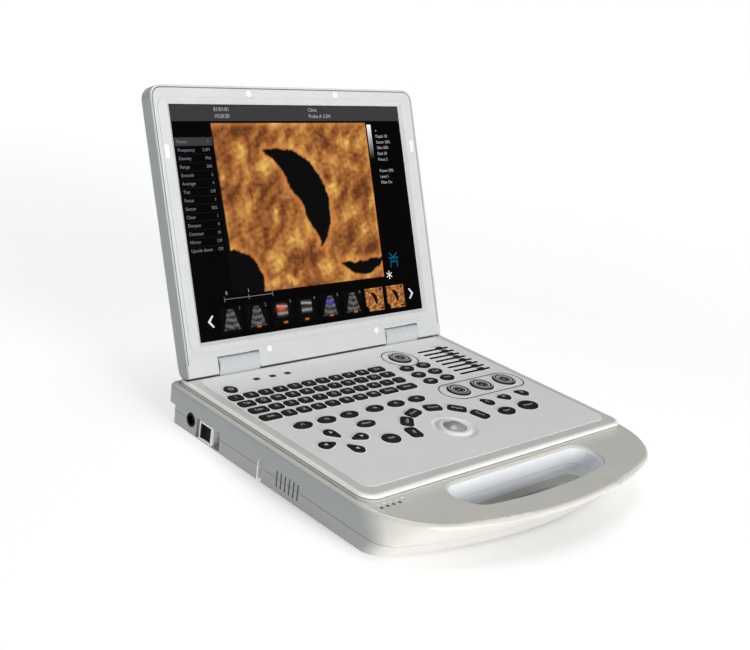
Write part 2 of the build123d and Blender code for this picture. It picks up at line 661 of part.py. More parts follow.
def probe_panel():
    """Dark surround of the two transducer sockets."""
    parts = []
    for y in PROBE_Y:
        half = PROBE_W / 2 - 0.3
        plate = block(178.2, 181.2, y - half, y + half, PROBE_Z0 + 0.3, PROBE_Z1 - 0.3)
        parts.append(plate - slab_x(177, 183, y - 28, y + 28, 9, 27, 3))
    return group(parts)


def slab_x(x0, x1, y0, y1, z0, z1, r):
    """Block along X whose four long edges are rounded."""
    face = Plane.YZ * RectangleRounded(y1 - y0, z1 - z0, r)
    return Pos(x0, (y0 + y1) / 2, (z0 + z1) / 2) * extrude(face, x1 - x0)


def probe_sockets():
    """Receptacle shells with a centre contact block and a lock slot."""
    parts = []
    for y in PROBE_Y:
        shell = slab_x(146, 178.2, y - 31, y + 31, 6.5, 29.5, 3) - slab_x(152, 180, y - 28, y + 28, 9, 27, 3)
        contacts = block(152, 170, y - 20, y + 20, 13, 17)
        tongue = block(152, 170, y - 20, y + 20, 20, 23)
        parts.append(shell + contacts + tongue)
    return group(parts)


PORT_Y = CASE_BACK - WALL
PORT_Z = 27.3


def io_plate():
    """Metal plate behind the rear window, with an opening for each connector."""
    x0, x1, z0, z1 = REAR_WINDOW
    plate = block(x0 - 3, x1 + 3, PORT_Y - 1.0, PORT_Y, z0 - 0.6, z1 + 1.2)
    cutters = [block(x - w / 2, x + w / 2, PORT_Y - 2, PORT_Y + 1, PORT_Z - h / 2, PORT_Z + h / 2)
               for x, w, h in PORTS]
    return cut_all(plate, cutters)


PORTS = ((-38, 14.6, 7.2), (-18, 14.6, 7.2), (8, 16.4, 9.8), (36, 20.0, 9.4))


def io_sockets():
    """Two data sockets, a network socket and a video socket."""
    parts = []
    for x, w, h in PORTS:
        width, height = w - 0.4, h - 0.4
        shell = block(x - width / 2, x + width / 2, PORT_Y - 15, PORT_Y + 0.6,
                      PORT_Z - height / 2, PORT_Z + height / 2)
        hole = block(x - width / 2 + 0.9, x + width / 2 - 0.9, PORT_Y - 11, PORT_Y + 2,
                     PORT_Z - height / 2 + 0.9, PORT_Z + height / 2 - 0.9)
        tongue = block(x - width / 4, x + width / 4, PORT_Y - 12, PORT_Y - 2, PORT_Z - 0.8, PORT_Z + 0.8)
        parts.append(shell - hole + tongue)
    return group(parts)


def status_lamps():
    return group([rod(x, y, CASE_TOP - 4, CASE_TOP + 0.3, LAMP_R) for x, y in LAMP_SPOTS])


def deck_lenses():
    return group([key_prism(k, DECK_TOP - PLATE_T, PANEL_TOP + 0.2) for k in LENSES])


# ---------------------------------------------------------------- hinges
def hinge_barrels():
    """Rounded towers of the base that the lid turns round."""
    z0 = GUTTER_Z
    upright = block(BARREL_IN, BARREL_OUT, HINGE_Y - BARREL_R, HINGE_Y + BARREL_R, z0, HINGE_Z)
    tower = upright + rod_x(BARREL_IN, BARREL_OUT, HINGE_Y, HINGE_Z, BARREL_R)
    tail = block(HINGE_MID_X - 17.8, HINGE_MID_X + 17.8, HINGE_Y - 4, HINGE_Y + 4, CASE_TOP - 3.4, z0 + 1)
    body = tower + tail - rod_x(BARREL_IN - 1, BARREL_OUT + 1, HINGE_Y, HINGE_Z, PIN_R + 0.05)
    return both_sides(body)


def hinge_brackets():
    """Steel plates that tie the barrels to the case from below."""
    x0, x1 = HINGE_MID_X - 24, HINGE_MID_X + 24
    plate = block(x0, x1, HINGE_Y - 12, HINGE_Y + 7.5, CASE_TOP - 5.4, CASE_TOP - 3.4)
    flange = block(x0, x1, HINGE_Y - 14, HINGE_Y - 12, 12, CASE_TOP - 3.4)
    return both_sides(plate + flange)


# ---------------------------------------------------------------- lid, in its own frame
# X along the hinge, -Y out of the screen, Z up the lid from the hinge axis.
RIM_T, RIM_GAP = 2.0, 1.0
CHIN_Z = 4.0                           # below this the bezel wraps the full width of the lid
NOTCH_IN, NOTCH_OUT, NOTCH_Z = 87.0, 137.6, 8.2
FIELD_Y = LID_FRONT + 0.5
BEZEL_BACK = -2.2


def lid_outline(y0, y1, inset=0.0, r=13.0, bottom=-20.0):
    """Upright prism with the outline of the lid, rounded at the top corners."""
    half = LID_HALF_W - inset
    top = LID_TOP - inset
    face = Plane.XZ * RectangleRounded(2 * half, top - bottom + 40, r - min(inset, r - 2))
    prism = Pos(0, y1, (top + bottom - 40) / 2) * extrude(face, y1 - y0)
    return prism & block(-300, 300, y0 - 1, y1 + 1, bottom, LID_TOP + 1)


def lid_profile(inset=0.0):
    """Side profile of the lid: flat front, lower end round the hinge axis, flat back."""
    r = LID_BOTTOM_R - inset
    front = LID_FRONT + inset
    back = LID_BACK - inset
    nose = 2.5
    k = nose * (1 - cos(radians(45)))
    edges = [
        Line((front, LID_TOP + 1), (front, -r + nose)),
        ThreePointArc((front, -r + nose), (front + k, -r + k), (front + nose, -r)),
        Line((front + nose, -r), (0, -r)),
        ThreePointArc((0, -r), (r * sin(radians(45)), -r * cos(radians(45))), (r, 0)),
        Line((r, 0), (back, 14)),
        Line((back, 14), (back, LID_TOP + 1)),
        Line((back, LID_TOP + 1), (front, LID_TOP + 1)),
    ]
    return Pos(-200, 0, 0) * extrude(Plane.YZ * make_face(edges), 400)


def hinge_notches(z1=NOTCH_Z):
    """Room for the base's hinge barrels."""
    return [block(s * (NOTCH_IN + NOTCH_OUT) / 2 - (NOTCH_OUT - NOTCH_IN) / 2,
                  s * (NOTCH_IN + NOTCH_OUT) / 2 + (NOTCH_OUT - NOTCH_IN) / 2,
                  -20, 20, -20, z1) for s in (-1, 1)]


EYE_R = 4.2


def lid_back_cover():
    outer = lid_outline(LID_FRONT + 0.4, LID_BACK)
    back_edges = outer.faces().sort_by(Axis.Y)[-1].edges().filter_by(lambda e: e.center().Z > -15)
    outer = fillet(back_edges, 4.5) & lid_profile()
    room = lid_outline(LID_FRONT - 1, LID_BACK - 2.4, RIM_T) & lid_profile(2.4)
    front_room = lid_outline(LID_FRONT - 1, BEZEL_BACK, RIM_T) & block(-300, 300, -20, BEZEL_BACK, -20, 280)
    body = outer - room - front_room
    body -= block(-200, 200, -20, BEZEL_BACK, -20, CHIN_Z + 0.3)
    cheeks = [block(s * x - 1.2, s * x + 1.2, BEZEL_BACK, 12, -9, NOTCH_Z + 2) & lid_profile()
              for s in (-1, 1) for x in (NOTCH_IN - 1.2, NOTCH_OUT + 1.2)]
    body += cheeks
    body = cut_all(body, hinge_notches())
    bores = [rod_x(s * HINGE_MID_X - 40, s * HINGE_MID_X + 40, 0, 0, PIN_R + 0.4) for s in (-1, 1)]
    return cut_all(body, bores)


def lid_bezel():
    face = lid_outline(FIELD_Y, BEZEL_BACK, RIM_T + RIM_GAP) & lid_profile()
    frame_z0, frame_z1 = LCD_Z - 10, LCD_Z + 234
    raised = Plane.XZ * RectangleRounded(334, frame_z1 - frame_z0, 10)
    raised = Pos(0, FIELD_Y, (frame_z0 + frame_z1) / 2) * extrude(raised, 0.5)
    chin = block(-LID_HALF_W, LID_HALF_W, FIELD_Y, BEZEL_BACK, -12, CHIN_Z) & lid_profile()
    body = face + raised + chin
    mid_z = LCD_Z + SCREEN_H / 2

    def window(y, grow):
        size = Plane.XZ * Rectangle(SCREEN_W + 2 * grow, SCREEN_H + 2 * grow)
        return Pos(0, y, mid_z) * size

    opening = loft([window(BEZEL_BACK + 0.01, 0.2), window(LID_FRONT - 0.01, 4.0)], ruled=True)
    body -= opening
    eye_mid = HINGE_MID_X + 0.5
    eye_room = [rod_x(s * eye_mid - 37, s * eye_mid + 37, 0, 0, EYE_R + 0.2) for s in (-1, 1)]
    return cut_all(cut_all(body, hinge_notches()), eye_room)


def lcd_module():
    """Display panel with its backlight tray."""
    z0, z1 = LCD_Z - 5, LCD_Z + SCREEN_H + 5
    return block(-158, 158, LCD_Y + 0.8, 8.0, z0, z1)


def lcd_glass():
    """Front glass with the visible picture."""
    z0, z1 = LCD_Z - 3, LCD_Z + SCREEN_H + 3
    return block(-155, 155, LCD_Y - 0.3, LCD_Y + 0.8, z0, z1)


def lid_buffers():
    """Four round buffers and two side pads on the bezel."""
    parts = []
    for x, z in ((58, LCD_Z + 238.8), (74, LCD_Z - 16)):
        for s in (-1, 1):
            parts.append(Pos(s * x, FIELD_Y - 0.6, z) * Rot(90, 0, 0) * Cylinder(3.3, 1.2))
    for s in (-1, 1):
        pad = Plane.XZ * RectangleRounded(5, 13, 1.2)
        parts.append(Pos(s * 163.5, LID_FRONT, LCD_Z + 183) * extrude(pad, 0.7))
    return group(parts)


def hinge_arms():
    """Steel arms in the lid with an eye each side of every barrel."""
    eyes = rod_x(77, 84.2, 0, 0, EYE_R) + rod_x(140.4, 148, 0, 0, EYE_R)
    arms = block(77, 84.2, -1.4, EYE_R, 0, 17.5) + block(140.4, 148, -1.4, EYE_R, 0, 17.5)
    plate = block(77, 148, 2.2, EYE_R, 10.5, 17.5)
    body = eyes + arms + plate - rod_x(70, 155, 0, 0, PIN_R)
    return both_sides(body)


def hinge_pins():
    return both_sides(rod_x(75.5, 149.5, 0, 0, PIN_R))


LID_SCREWS = [(sx * x, z) for sx in (-1, 1) for x, z in ((164, 20), (164, 255), (60, 258))]


def lid_screws():
    """Screws through the back cover."""
    parts = []
    for x, z in LID_SCREWS:
        head = Pos(x, LID_BACK - 0.75, z) * Rot(90, 0, 0) * Cylinder(2.6, 1.2)
        head -= Pos(x, LID_BACK - 0.15, z) * Box(3.6, 0.9, 0.7)
        parts.append(head)
    return group(parts)


def screw_wells():
    return [Pos(x, LID_BACK, z) * Rot(90, 0, 0) * Cylinder(2.7, 2.7) for x, z in LID_SCREWS]


def in_lid(shape):
    """Put a lid piece at the rest opening of the lid."""
    return Pos(0, HINGE_Y, HINGE_Z) * Rot(-LID_REST, 0, 0) * shape


# ---------------------------------------------------------------- the assembly
def build_nodes():
    """Every node of the scanner, in the device frame."""
    nodes = {
        "bottom_case": bottom_case(),
        "top_case": top_case(),
        "deck_frame": deck_frame(),
        "deck_panel": deck_panel(),
        "key_mat": key_mat(),
        "keypad_board": keypad_board(),
        "slide_board": slide_board(),
        "knob_encoders": knob_encoders(),
        "main_board": main_board(),
        "beamformer_board": beamformer_board(),
        "shield_can": shield_can(),
        "power_board": power_board(),
        "heat_sink": heat_sink(),
        "fan_frame": fan_frame(),
        "fan_rotor": fan_rotor(),
        "battery_pack": battery_pack(),
        "battery_door": battery_door(),
        "speaker": speaker(),
        "case_screws": case_screws(),
        "rubber_feet": rubber_feet(),
        "dc_socket": dc_socket(),
        "rocker_frame": rocker_frame(),
        "rocker_switch": rocker_switch(),
        "probe_panel": probe_panel(),
        "probe_sockets": probe_sockets(),
        "io_plate": io_plate(),
        "io_sockets": io_sockets(),
        "status_lamps": status_lamps(),
        "deck_lenses": deck_lenses(),
        "trackball_housing": trackball_housing(),
        "trackball_ring": trackball_ring(),
        "trackball": trackball(),
        "hinge_barrels": hinge_barrels(),
        "hinge_brackets": hinge_brackets(),
        "number_keys": key_group(NUMBER_KEYS),
        "letter_keys": key_group(LETTER_KEYS),
        "function_keys": key_group(FUNCTION_KEYS),
        "arrow_keys": key_group(ARROW_KEYS),
        "scan_keys": key_group(SCAN_KEYS),
        "power_key": key_group(POWER_KEY),
        "gain_knob": knob(*GAIN_KNOB),
    }
    for i, place in enumerate(ROTARY_KNOBS):
        nodes[f"rotary_knob_{i + 1}"] = knob(*place)
    for i in range(SLIDES):
        nodes[f"gain_slide_{i + 1}"] = gain_slide(i)
    lid = {
        "lid_back_cover": cut_all(lid_back_cover(), screw_wells()),
        "lid_bezel": lid_bezel(),
        "lcd_module": lcd_module(),
        "lcd_glass": lcd_glass(),
        "lid_buffers": lid_buffers(),
        "hinge_arms": hinge_arms(),
        "hinge_pins": hinge_pins(),
    }
    lid["lid_screws"] = lid_screws()
    nodes.update({name: in_lid(shape) for name, shape in lid.items()})
    return nodes


def main():
    nodes = build_nodes()
    whole = Compound(children=[s for shape in nodes.values() for s in solids_of(shape)]).bounding_box()
    shift = Pos(-whole.center().X, -whole.center().Y, -whole.min.Z)
    print("shift", -whole.center().X, -whole.center().Y, -whole.min.Z, "size", whole.size)
    for name, shape in nodes.items():
        export_step(shift * shape, f"parts/{name}.step")


main()
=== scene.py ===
"""Looks of a portable laptop-style ultrasound scanner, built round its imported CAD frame."""
import json
from math import acos, cos, pi, radians, sin, sqrt

import bmesh
import bpy
import numpy as np
from mathutils import Matrix, Vector


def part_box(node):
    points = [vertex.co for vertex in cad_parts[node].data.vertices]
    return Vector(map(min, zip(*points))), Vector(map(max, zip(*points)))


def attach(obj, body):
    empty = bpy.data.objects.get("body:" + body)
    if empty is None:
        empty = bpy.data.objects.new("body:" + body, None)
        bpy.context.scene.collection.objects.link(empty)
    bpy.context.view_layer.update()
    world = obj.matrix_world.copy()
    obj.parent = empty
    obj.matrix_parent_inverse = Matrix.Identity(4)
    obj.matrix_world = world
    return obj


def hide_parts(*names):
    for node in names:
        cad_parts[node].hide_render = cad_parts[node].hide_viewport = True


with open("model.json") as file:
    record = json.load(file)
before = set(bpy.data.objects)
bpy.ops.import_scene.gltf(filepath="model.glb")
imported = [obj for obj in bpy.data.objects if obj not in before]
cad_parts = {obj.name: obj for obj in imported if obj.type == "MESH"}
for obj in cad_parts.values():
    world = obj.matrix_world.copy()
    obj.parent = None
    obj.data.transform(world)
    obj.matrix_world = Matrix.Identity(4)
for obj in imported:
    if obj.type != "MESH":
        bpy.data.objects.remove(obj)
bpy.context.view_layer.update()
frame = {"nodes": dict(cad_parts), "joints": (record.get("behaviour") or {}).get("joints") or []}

scene = bpy.context.scene

# ---------------------------------------------------------------- frames: device and lid, in millimetres
MM = 0.001
CASE_TOP = 38.0
LID_REST = 22.91
deck_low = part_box("deck_frame")[0]
DEVICE = Matrix.Translation((0, deck_low.y, deck_low.z - CASE_TOP * MM)) @ Matrix.Scale(MM, 4)
hinge_point = next(j for j in frame["joints"] if j["name"] == "lid_hinge")["pos_m"]
LID = Matrix.Translation(hinge_point) @ Matrix.Rotation(radians(-LID_REST), 4, "X") @ Matrix.Scale(MM, 4)

# sizes shared with the CAD source, in millimetres
PANEL_TOP = 44.5
KEY_BOTTOM, KEY_TOP, KEY_FLANGE = 40.4, 45.9, 0.9
SCREEN_H, LCD_Z = 228.1, 23.5
GLASS_Y = -2.17
FIELD_Y, LID_FRONT = -5.21, -5.71


# ---------------------------------------------------------------- small tools
def linear(value):
    """One display value, 0 to 255, as scene-linear light."""
    v = value / 255
    return v / 12.92 if v <= 0.04045 else ((v + 0.055) / 1.055) ** 2.4


def rgb(r, g, b):
    return (linear(r), linear(g), linear(b), 1.0)


def scaled(colour, share):
    return (*(min(1.0, c * share) for c in colour[:3]), 1.0)


class Look:
    """A procedural material: colour that drifts, grain in the gloss and in the surface."""

    def __init__(self, name, colour, rough=0.4, metal=0.0, specular=0.5, coat=0.0):
        self.material = bpy.data.materials.new(name)
        self.material.use_nodes = True
        self.tree = self.material.node_tree
        self.shader = self.tree.nodes["Principled BSDF"]
        self.colour = colour
        self.rough = rough
        self.shader.inputs["Base Color"].default_value = colour
        self.shader.inputs["Roughness"].default_value = rough
        self.shader.inputs["Metallic"].default_value = metal
        self.shader.inputs["Specular IOR Level"].default_value = specular
        self.shader.inputs["Coat Weight"].default_value = coat
        self.shader.inputs["Coat Roughness"].default_value = 0.12
        self.place = self.node("TexCoord").outputs["Object"]
        self.normal = None

    def node(self, kind, **inputs):
        made = self.tree.nodes.new("ShaderNode" + kind)
        for key, value in inputs.items():
            made.inputs[key.replace("_", " ")].default_value = value
        return made

    def link(self, output, target):
        self.tree.links.new(output, target)
        return self

    def stretched(self, x, y, z):
        mapping = self.node("Mapping")
        mapping.inputs["Scale"].default_value = (x, y, z)
        self.link(self.place, mapping.inputs["Vector"])
        return mapping.outputs["Vector"]

    def noise(self, scale, detail=2.0, vector=None, distortion=0.0):
        made = self.node("TexNoise", Scale=scale, Detail=detail, Distortion=distortion)
        self.link(vector or self.place, made.inputs["Vector"])
        return made.outputs["Fac"]

    def spread(self, value, low, high, start=0.3, end=0.7):
        made = self.node("MapRange")
        for i, number in enumerate((start, end, low, high), 1):
            made.inputs[i].default_value = number
        self.link(value, made.inputs[0])
        return made.outputs[0]

    def mixed(self, factor, low, high):
        made = self.node("Mix")
        made.data_type = "RGBA"
        for socket, value in ((made.inputs[6], low), (made.inputs[7], high)):
            if isinstance(value, tuple):
                socket.default_value = value
            else:
                self.link(value, socket)
        self.link(factor, made.inputs[0])
        return made.outputs[2]

    def drift(self, scale, amount, detail=2.0, vector=None):
        """Base colour that wanders a little lighter and darker."""
        factor = self.spread(self.noise(scale, detail, vector), 0, 1)
        self.tint = self.mixed(factor, scaled(self.colour, 1 - amount), scaled(self.colour, 1 + amount))
        return self.link(self.tint, self.shader.inputs["Base Color"])

    def flecks(self, scale, colour, share):
        """Sparse specks over the drifting colour."""
        dots = self.spread(self.noise(scale, 0.0), 0, share, 0.62, 0.72)
        self.tint = self.mixed(dots, self.tint, colour)
        return self.link(self.tint, self.shader.inputs["Base Color"])

    def gloss(self, scale, amount, vector=None):
        value = self.spread(self.noise(scale, 2.0, vector), self.rough - amount, self.rough + amount)
        return self.link(value, self.shader.inputs["Roughness"])

    def rounded(self, radius):
        """Softens every hard edge of a moulding."""
        made = self.node("Bevel", Radius=radius)
        made.samples = 4
        self.normal = made.outputs["Normal"]
        return self.link(self.normal, self.shader.inputs["Normal"])

    def bump(self, scale, depth, strength=0.5, vector=None, detail=2.0):
        made = self.node("Bump", Strength=strength, Distance=depth)
        self.link(self.noise(scale, detail, vector), made.inputs["Height"])
        if self.normal:
            self.link(self.normal, made.inputs["Normal"])
        self.normal = made.outputs["Normal"]
        return self.link(self.normal, self.shader.inputs["Normal"])

    def glow(self, colour, strength):
        self.shader.inputs["Emission Color"].default_value = colour
        self.shader.inputs["Emission Strength"].default_value = strength
        return self


def moulded(name, colour, rough=0.42, grain=2600.0, depth=0.00002, edge=0.0004, tint=0.03, **more):
    """Moulded or painted plastic."""
    look = Look(name, colour, rough, **more)
    if edge:
        look.rounded(edge)
    look.drift(34.0, tint).gloss(420.0, 0.05).bump(grain, depth, 0.35)
    return look


def skinned(loops, bm=None, caps=(True, True), slot=0):
    """Closed body skinned over outlines of equal length."""
    bm = bm or bmesh.new()
    rows = [[bm.verts.new(p) for p in loop] for loop in loops]
    made = []
    for a, b in zip(rows, rows[1:]):
        for i in range(len(a)):
            j = (i + 1) % len(a)
            made.append(bm.faces.new((a[i], a[j], b[j], b[i])))
    if caps[0]:
        made.append(bm.faces.new(rows[0][::-1]))
    if caps[1]:
        made.append(bm.faces.new(rows[-1]))
    for face in made:
        face.material_index = slot
    return bm


def piece(name, bm, looks, body, place=DEVICE, replaces=(), sharp=35):
    """Finish a mesh in the row frame and let it ride on its body."""
    mesh = bpy.data.meshes.new(name)
    bmesh.ops.recalc_face_normals(bm, faces=bm.faces)
    bm.to_mesh(mesh)
    bm.free()
    mesh.transform(place)
    for look in looks if isinstance(looks, (list, tuple)) else [looks]:
        mesh.materials.append(look.material)
    mesh.shade_smooth()
    mesh.set_sharp_from_angle(angle=radians(sharp))
    made = bpy.data.objects.new(name, mesh)
    scene.collection.objects.link(made)
    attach(made, body)
    if replaces:
        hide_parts(*replaces)
    return made


def bar_outline(width, height, radius, steps=6):
    """Rounded rectangle round the origin."""
    points = []
    for cx, cy, start in ((1, 1, 0), (-1, 1, 90), (-1, -1, 180), (1, -1, 270)):
        for k in range(steps + 1):
            a = radians(start + 90 * k / steps)
            x = cx * (width / 2 - radius) + radius * cos(a)
            y = cy * (height / 2 - radius) + radius * sin(a)
            points.append((x, y))
    return points


def oval_outline(width, height, steps=40):
    return [(width / 2 * cos(2 * pi * k / steps), height / 2 * sin(2 * pi * k / steps)) for k in range(steps)]


def drop_outline(width, height, grow, steps=14):
    """Drop with its point along +X: two circles and the lines that touch both."""
    tip, butt = 1.9, height * 0.42
    tip_x, butt_x = width / 2 - tip, -width / 2 + butt
    touch = acos((butt - tip) / (tip_x - butt_x))
    points = []
    ends = ((tip_x, tip + grow, -touch, touch), (butt_x, butt + grow, touch, 2 * pi - touch))
    for cx, r, start, end in ends:
        for k in range(steps + 1):
            a = start + (end - start) * k / steps
            points.append((cx + r * cos(a), r * sin(a)))
    return points


def key_outline(kind, width, height, grow):
    if kind == "bar":
        return bar_outline(width + 2 * grow, height + 2 * grow, max(height * 0.3 + grow, 0.2))
    if kind == "oval":
        return oval_outline(width + 2 * grow, height + 2 * grow)
    return drop_outline(width, height, grow)


def placed(points, x, y, z, turn=0.0):
    """A flat outline, turned, then moved to x, y at height z."""
    c, s = cos(radians(turn)), sin(radians(turn))
    return [(x + px * c - py * s, y + px * s + py * c, z) for px, py in points]


def lathe(bm, profile, steps=64, at=(0, 0), slots=None):
    """Turned body: profile is (radius, height) from the lower centre outwards and back."""
    for i, ((r0, z0), (r1, z1)) in enumerate(zip(profile, profile[1:])):
        slot = slots[i] if slots else 0
        for k in range(steps):
            a, b = 2 * pi * k / steps, 2 * pi * (k + 1) / steps
            corners = [(r0, a, z0), (r0, b, z0), (r1, b, z1), (r1, a, z1)]
            if r0 == 0:
                corners = corners[1:]
            elif r1 == 0:
                corners = corners[:3]
            verts = [bm.verts.new((at[0] + r * cos(t), at[1] + r * sin(t), z)) for r, t, z in corners]
            bm.faces.new(verts).material_index = slot
    bmesh.ops.remove_doubles(bm, verts=bm.verts, dist=1e-5)
    return bm


def flat_ring(bm, inner, outer, low, high):
    """Thin printed band between two flat outlines of equal length."""
    loops = [[(x, y, low) for x, y, _ in inner], [(x, y, high) for x, y, _ in inner],
             [(x, y, high) for x, y, _ in outer], [(x, y, low) for x, y, _ in outer]]
    rows = [[bm.verts.new(p) for p in loop] for loop in loops]
    rows.append(rows[0])
    for a, b in zip(rows, rows[1:]):
        for i in range(len(a)):
            j = (i + 1) % len(a)
            bm.faces.new((a[i], a[j], b[j], b[i]))


def plate(bm, points, low, high):
    """Thin flat plate with any outline."""
    skinned([[(x, y, low) for x, y in points], [(x, y, high) for x, y in points]], bm)


def add_mesh(bm, mesh, matrix):
    start = len(bm.verts)
    bm.from_mesh(mesh)
    bm.verts.ensure_lookup_table()
    bmesh.ops.transform(bm, matrix=matrix, verts=bm.verts[start:])


def lettering(bm, text, size, matrix, depth=0.05, align="CENTER"):
    """Generic lettering as thin raised print."""
    curve = bpy.data.curves.new("lettering", "FONT")
    curve.body, curve.size, curve.extrude, curve.resolution_u = text, size, depth / 2, 3
    curve.align_x, curve.align_y = align, "CENTER"
    holder = bpy.data.objects.new("lettering", curve)
    scene.collection.objects.link(holder)
    mesh = bpy.data.meshes.new_from_object(holder.evaluated_get(bpy.context.evaluated_depsgraph_get()))
    add_mesh(bm, mesh, matrix)
    bpy.data.objects.remove(holder)
    bpy.data.curves.remove(curve)
    bpy.data.meshes.remove(mesh)


# ---------------------------------------------------------------- camera, light and floor
CAMERA_AT = (-0.78511, -0.71478, 0.47320)
CAMERA_YAW, CAMERA_PITCH, CAMERA_ROLL = radians(45.96), radians(19.54), 0.1568
camera_data = bpy.data.cameras.new("camera")
camera_data.sensor_width = 36.0
camera_data.lens = 55.70
camera_data.shift_x = 0.00384
camera_data.shift_y = 0.0217
camera = bpy.data.objects.new("camera", camera_data)
ahead = Vector((sin(CAMERA_YAW) * cos(CAMERA_PITCH), cos(CAMERA_YAW) * cos(CAMERA_PITCH), -sin(CAMERA_PITCH)))
level = ahead.cross(Vector((0, 0, 1))).normalized()
upright = level.cross(ahead)
right = cos(CAMERA_ROLL) * level + sin(CAMERA_ROLL) * upright
above = -sin(CAMERA_ROLL) * level + cos(CAMERA_ROLL) * upright
camera.matrix_world = Matrix.Translation(CAMERA_AT) @ Matrix((right, above, -ahead)).transposed().to_4x4()
scene.collection.objects.link(camera)
scene.camera = camera
scene.view_settings.view_transform = "Standard"

world = bpy.data.worlds.new("studio")
scene.world = world
world.use_nodes = True
world.node_tree.nodes["Background"].inputs["Color"].default_value = (0.93, 0.96, 1.0, 1.0)
world.node_tree.nodes["Background"].inputs["Strength"].default_value = 0.14


def softbox(name, at, aim, width, height, power, colour=(1, 1, 1)):
    data = bpy.data.lights.new(name, "AREA")
    data.shape = "RECTANGLE"
    data.size, data.size_y, data.energy, data.color = width, height, power, colour
    lamp = bpy.data.objects.new(name, data)
    lamp.location = at
    lamp.rotation_mode = "QUATERNION"
    lamp.rotation_quaternion = (Vector(aim) - Vector(at)).to_track_quat("-Z", "Y")
    scene.collection.objects.link(lamp)


softbox("key_light", (-0.3, -2.6, 0.75), (0, 0, 0.1), 1.2, 1.2, 60.0, (1.0, 0.995, 0.98))
softbox("top_light", (0.1, 0.3, 2.4), (0, 0, 0), 1.4, 1.4, 23.0)

floor_look = Look("floor_pale", rgb(196, 196, 196), 0.7, specular=0.2)
floor_look.drift(0.8, 0.01).gloss(6.0, 0.05)
floor_look.glow((1, 1, 1, 1), 0.5)
# painted shadow under the device: near the device's middle the floor's glow fades and its colour darkens;
# further out it glows evenly pale, and more still far off
footprint = floor_look.node("Mapping")
footprint.inputs["Location"].default_value = (0.0, 0.3, 0.0)
footprint.inputs["Scale"].default_value = (5.0, 5.0, 1.0)
floor_look.link(floor_look.place, footprint.inputs["Vector"])
from_middle = floor_look.node("VectorMath")
from_middle.operation = "LENGTH"
floor_look.link(footprint.outputs["Vector"], from_middle.inputs[0])
glow_outside_painted_shadow = floor_look.spread(from_middle.outputs["Value"], 0.0, 0.62, 0.4, 1.1)
painted_shadow_share = floor_look.spread(from_middle.outputs["Value"], 1, 0, 0.5, 0.72)
floor_look.tint = floor_look.mixed(painted_shadow_share, floor_look.tint, rgb(92, 94, 98))
floor_look.link(floor_look.tint, floor_look.shader.inputs["Base Color"])
beyond = floor_look.spread(from_middle.outputs["Value"], 0.0, 0.3, 3.0, 12.0)
both = floor_look.node("Math")
floor_look.link(glow_outside_painted_shadow, both.inputs[0]).link(beyond, both.inputs[1])
floor_look.link(both.outputs["Value"], floor_look.shader.inputs["Emission Strength"])
floor_bm = bmesh.new()
FLOOR_HALF, FLOOR_Z = 90.0, -0.0002  # metres
floor_verts = [floor_bm.verts.new((x * FLOOR_HALF, y * FLOOR_HALF, FLOOR_Z))
               for x, y in ((-1, -1), (1, -1), (1, 1), (-1, 1))]
floor_bm.faces.new(floor_verts)
floor_mesh = bpy.data.meshes.new("floor")
floor_bm.to_mesh(floor_mesh)
floor_bm.free()
floor_mesh.materials.append(floor_look.material)
floor = bpy.data.objects.new("floor", floor_mesh)
scene.collection.objects.link(floor)

# ---------------------------------------------------------------- materials
case = moulded("case_paint", rgb(210, 208, 201), 0.34, coat=0.35)
case.flecks(5200.0, rgb(228, 228, 224), 0.5)
lid_paint = moulded("lid_paint", rgb(206, 208, 208), 0.42, coat=0.12)
lid_paint.flecks(5200.0, rgb(230, 231, 232), 0.5)


def banded(look, axis, bands, base):
    """Colour that changes along one axis of the row frame: bands are (start, end, soft edge, colour)."""
    split = look.node("SeparateXYZ")
    look.link(look.place, split.inputs[0])
    tint = base
    for start, end, soft, colour in bands:
        above = look.spread(split.outputs[axis], 0, 1, start, start + soft)
        below = look.spread(split.outputs[axis], 1, 0, end - soft, end)
        share = look.node("Math")
        share.operation = "MULTIPLY"
        look.link(above, share.inputs[0]).link(below, share.inputs[1])
        tint = look.mixed(share.outputs["Value"], tint, colour)
    look.tint = tint
    return look.link(tint, look.shader.inputs["Base Color"])


trim = moulded("deck_trim", rgb(212, 212, 208), 0.38, edge=0.0005, coat=0.2)
deck_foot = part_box("deck_frame")[0].z
# painted shade and highlight by height on the deck frame: its lowest part darker, a dark band for the shade
# in the groove at the bead's foot, and a near-white band for the light on the bead
banded(trim, 2, [
    (deck_foot - 0.001, deck_foot + 0.0030, 0.0002, rgb(190, 189, 182)),
    (deck_foot + 0.0029, deck_foot + 0.0037, 0.0002, rgb(84, 90, 98)),
    (deck_foot + 0.0036, deck_foot + 0.0059, 0.0002, rgb(250, 250, 248)),
], trim.tint)
shell = moulded("case_shell", rgb(210, 208, 201), 0.34, coat=0.35)
shell.flecks(5200.0, rgb(228, 228, 224), 0.5)
panel = moulded("deck_overlay", rgb(234, 234, 234), 0.5, grain=3800.0, edge=0.0002, tint=0.015)
halo = moulded("print_pale", rgb(253, 253, 253), 0.5, edge=0, tint=0.01)
ink = moulded("print_dark", rgb(40, 42, 46), 0.6, edge=0, tint=0.08, specular=0.2)
icon_ink = moulded("print_icon", rgb(240, 242, 242), 0.5, edge=0, tint=0.02)
key = moulded("key_silicone", rgb(17, 17, 18), 0.55, grain=3000.0, edge=0, tint=0.12, specular=0.22)
legend = moulded("key_legend", rgb(214, 216, 218), 0.55, edge=0, tint=0.04)
black = moulded("black_plastic", rgb(16, 16, 17), 0.5, edge=0.0002, tint=0.12, specular=0.25)
knob_grey = moulded("knob_ring", rgb(150, 151, 152), 0.5, edge=0, tint=0.05, specular=0.3)
knob_pale = moulded("knob_face", rgb(196, 197, 198), 0.5, edge=0, tint=0.04, specular=0.3)
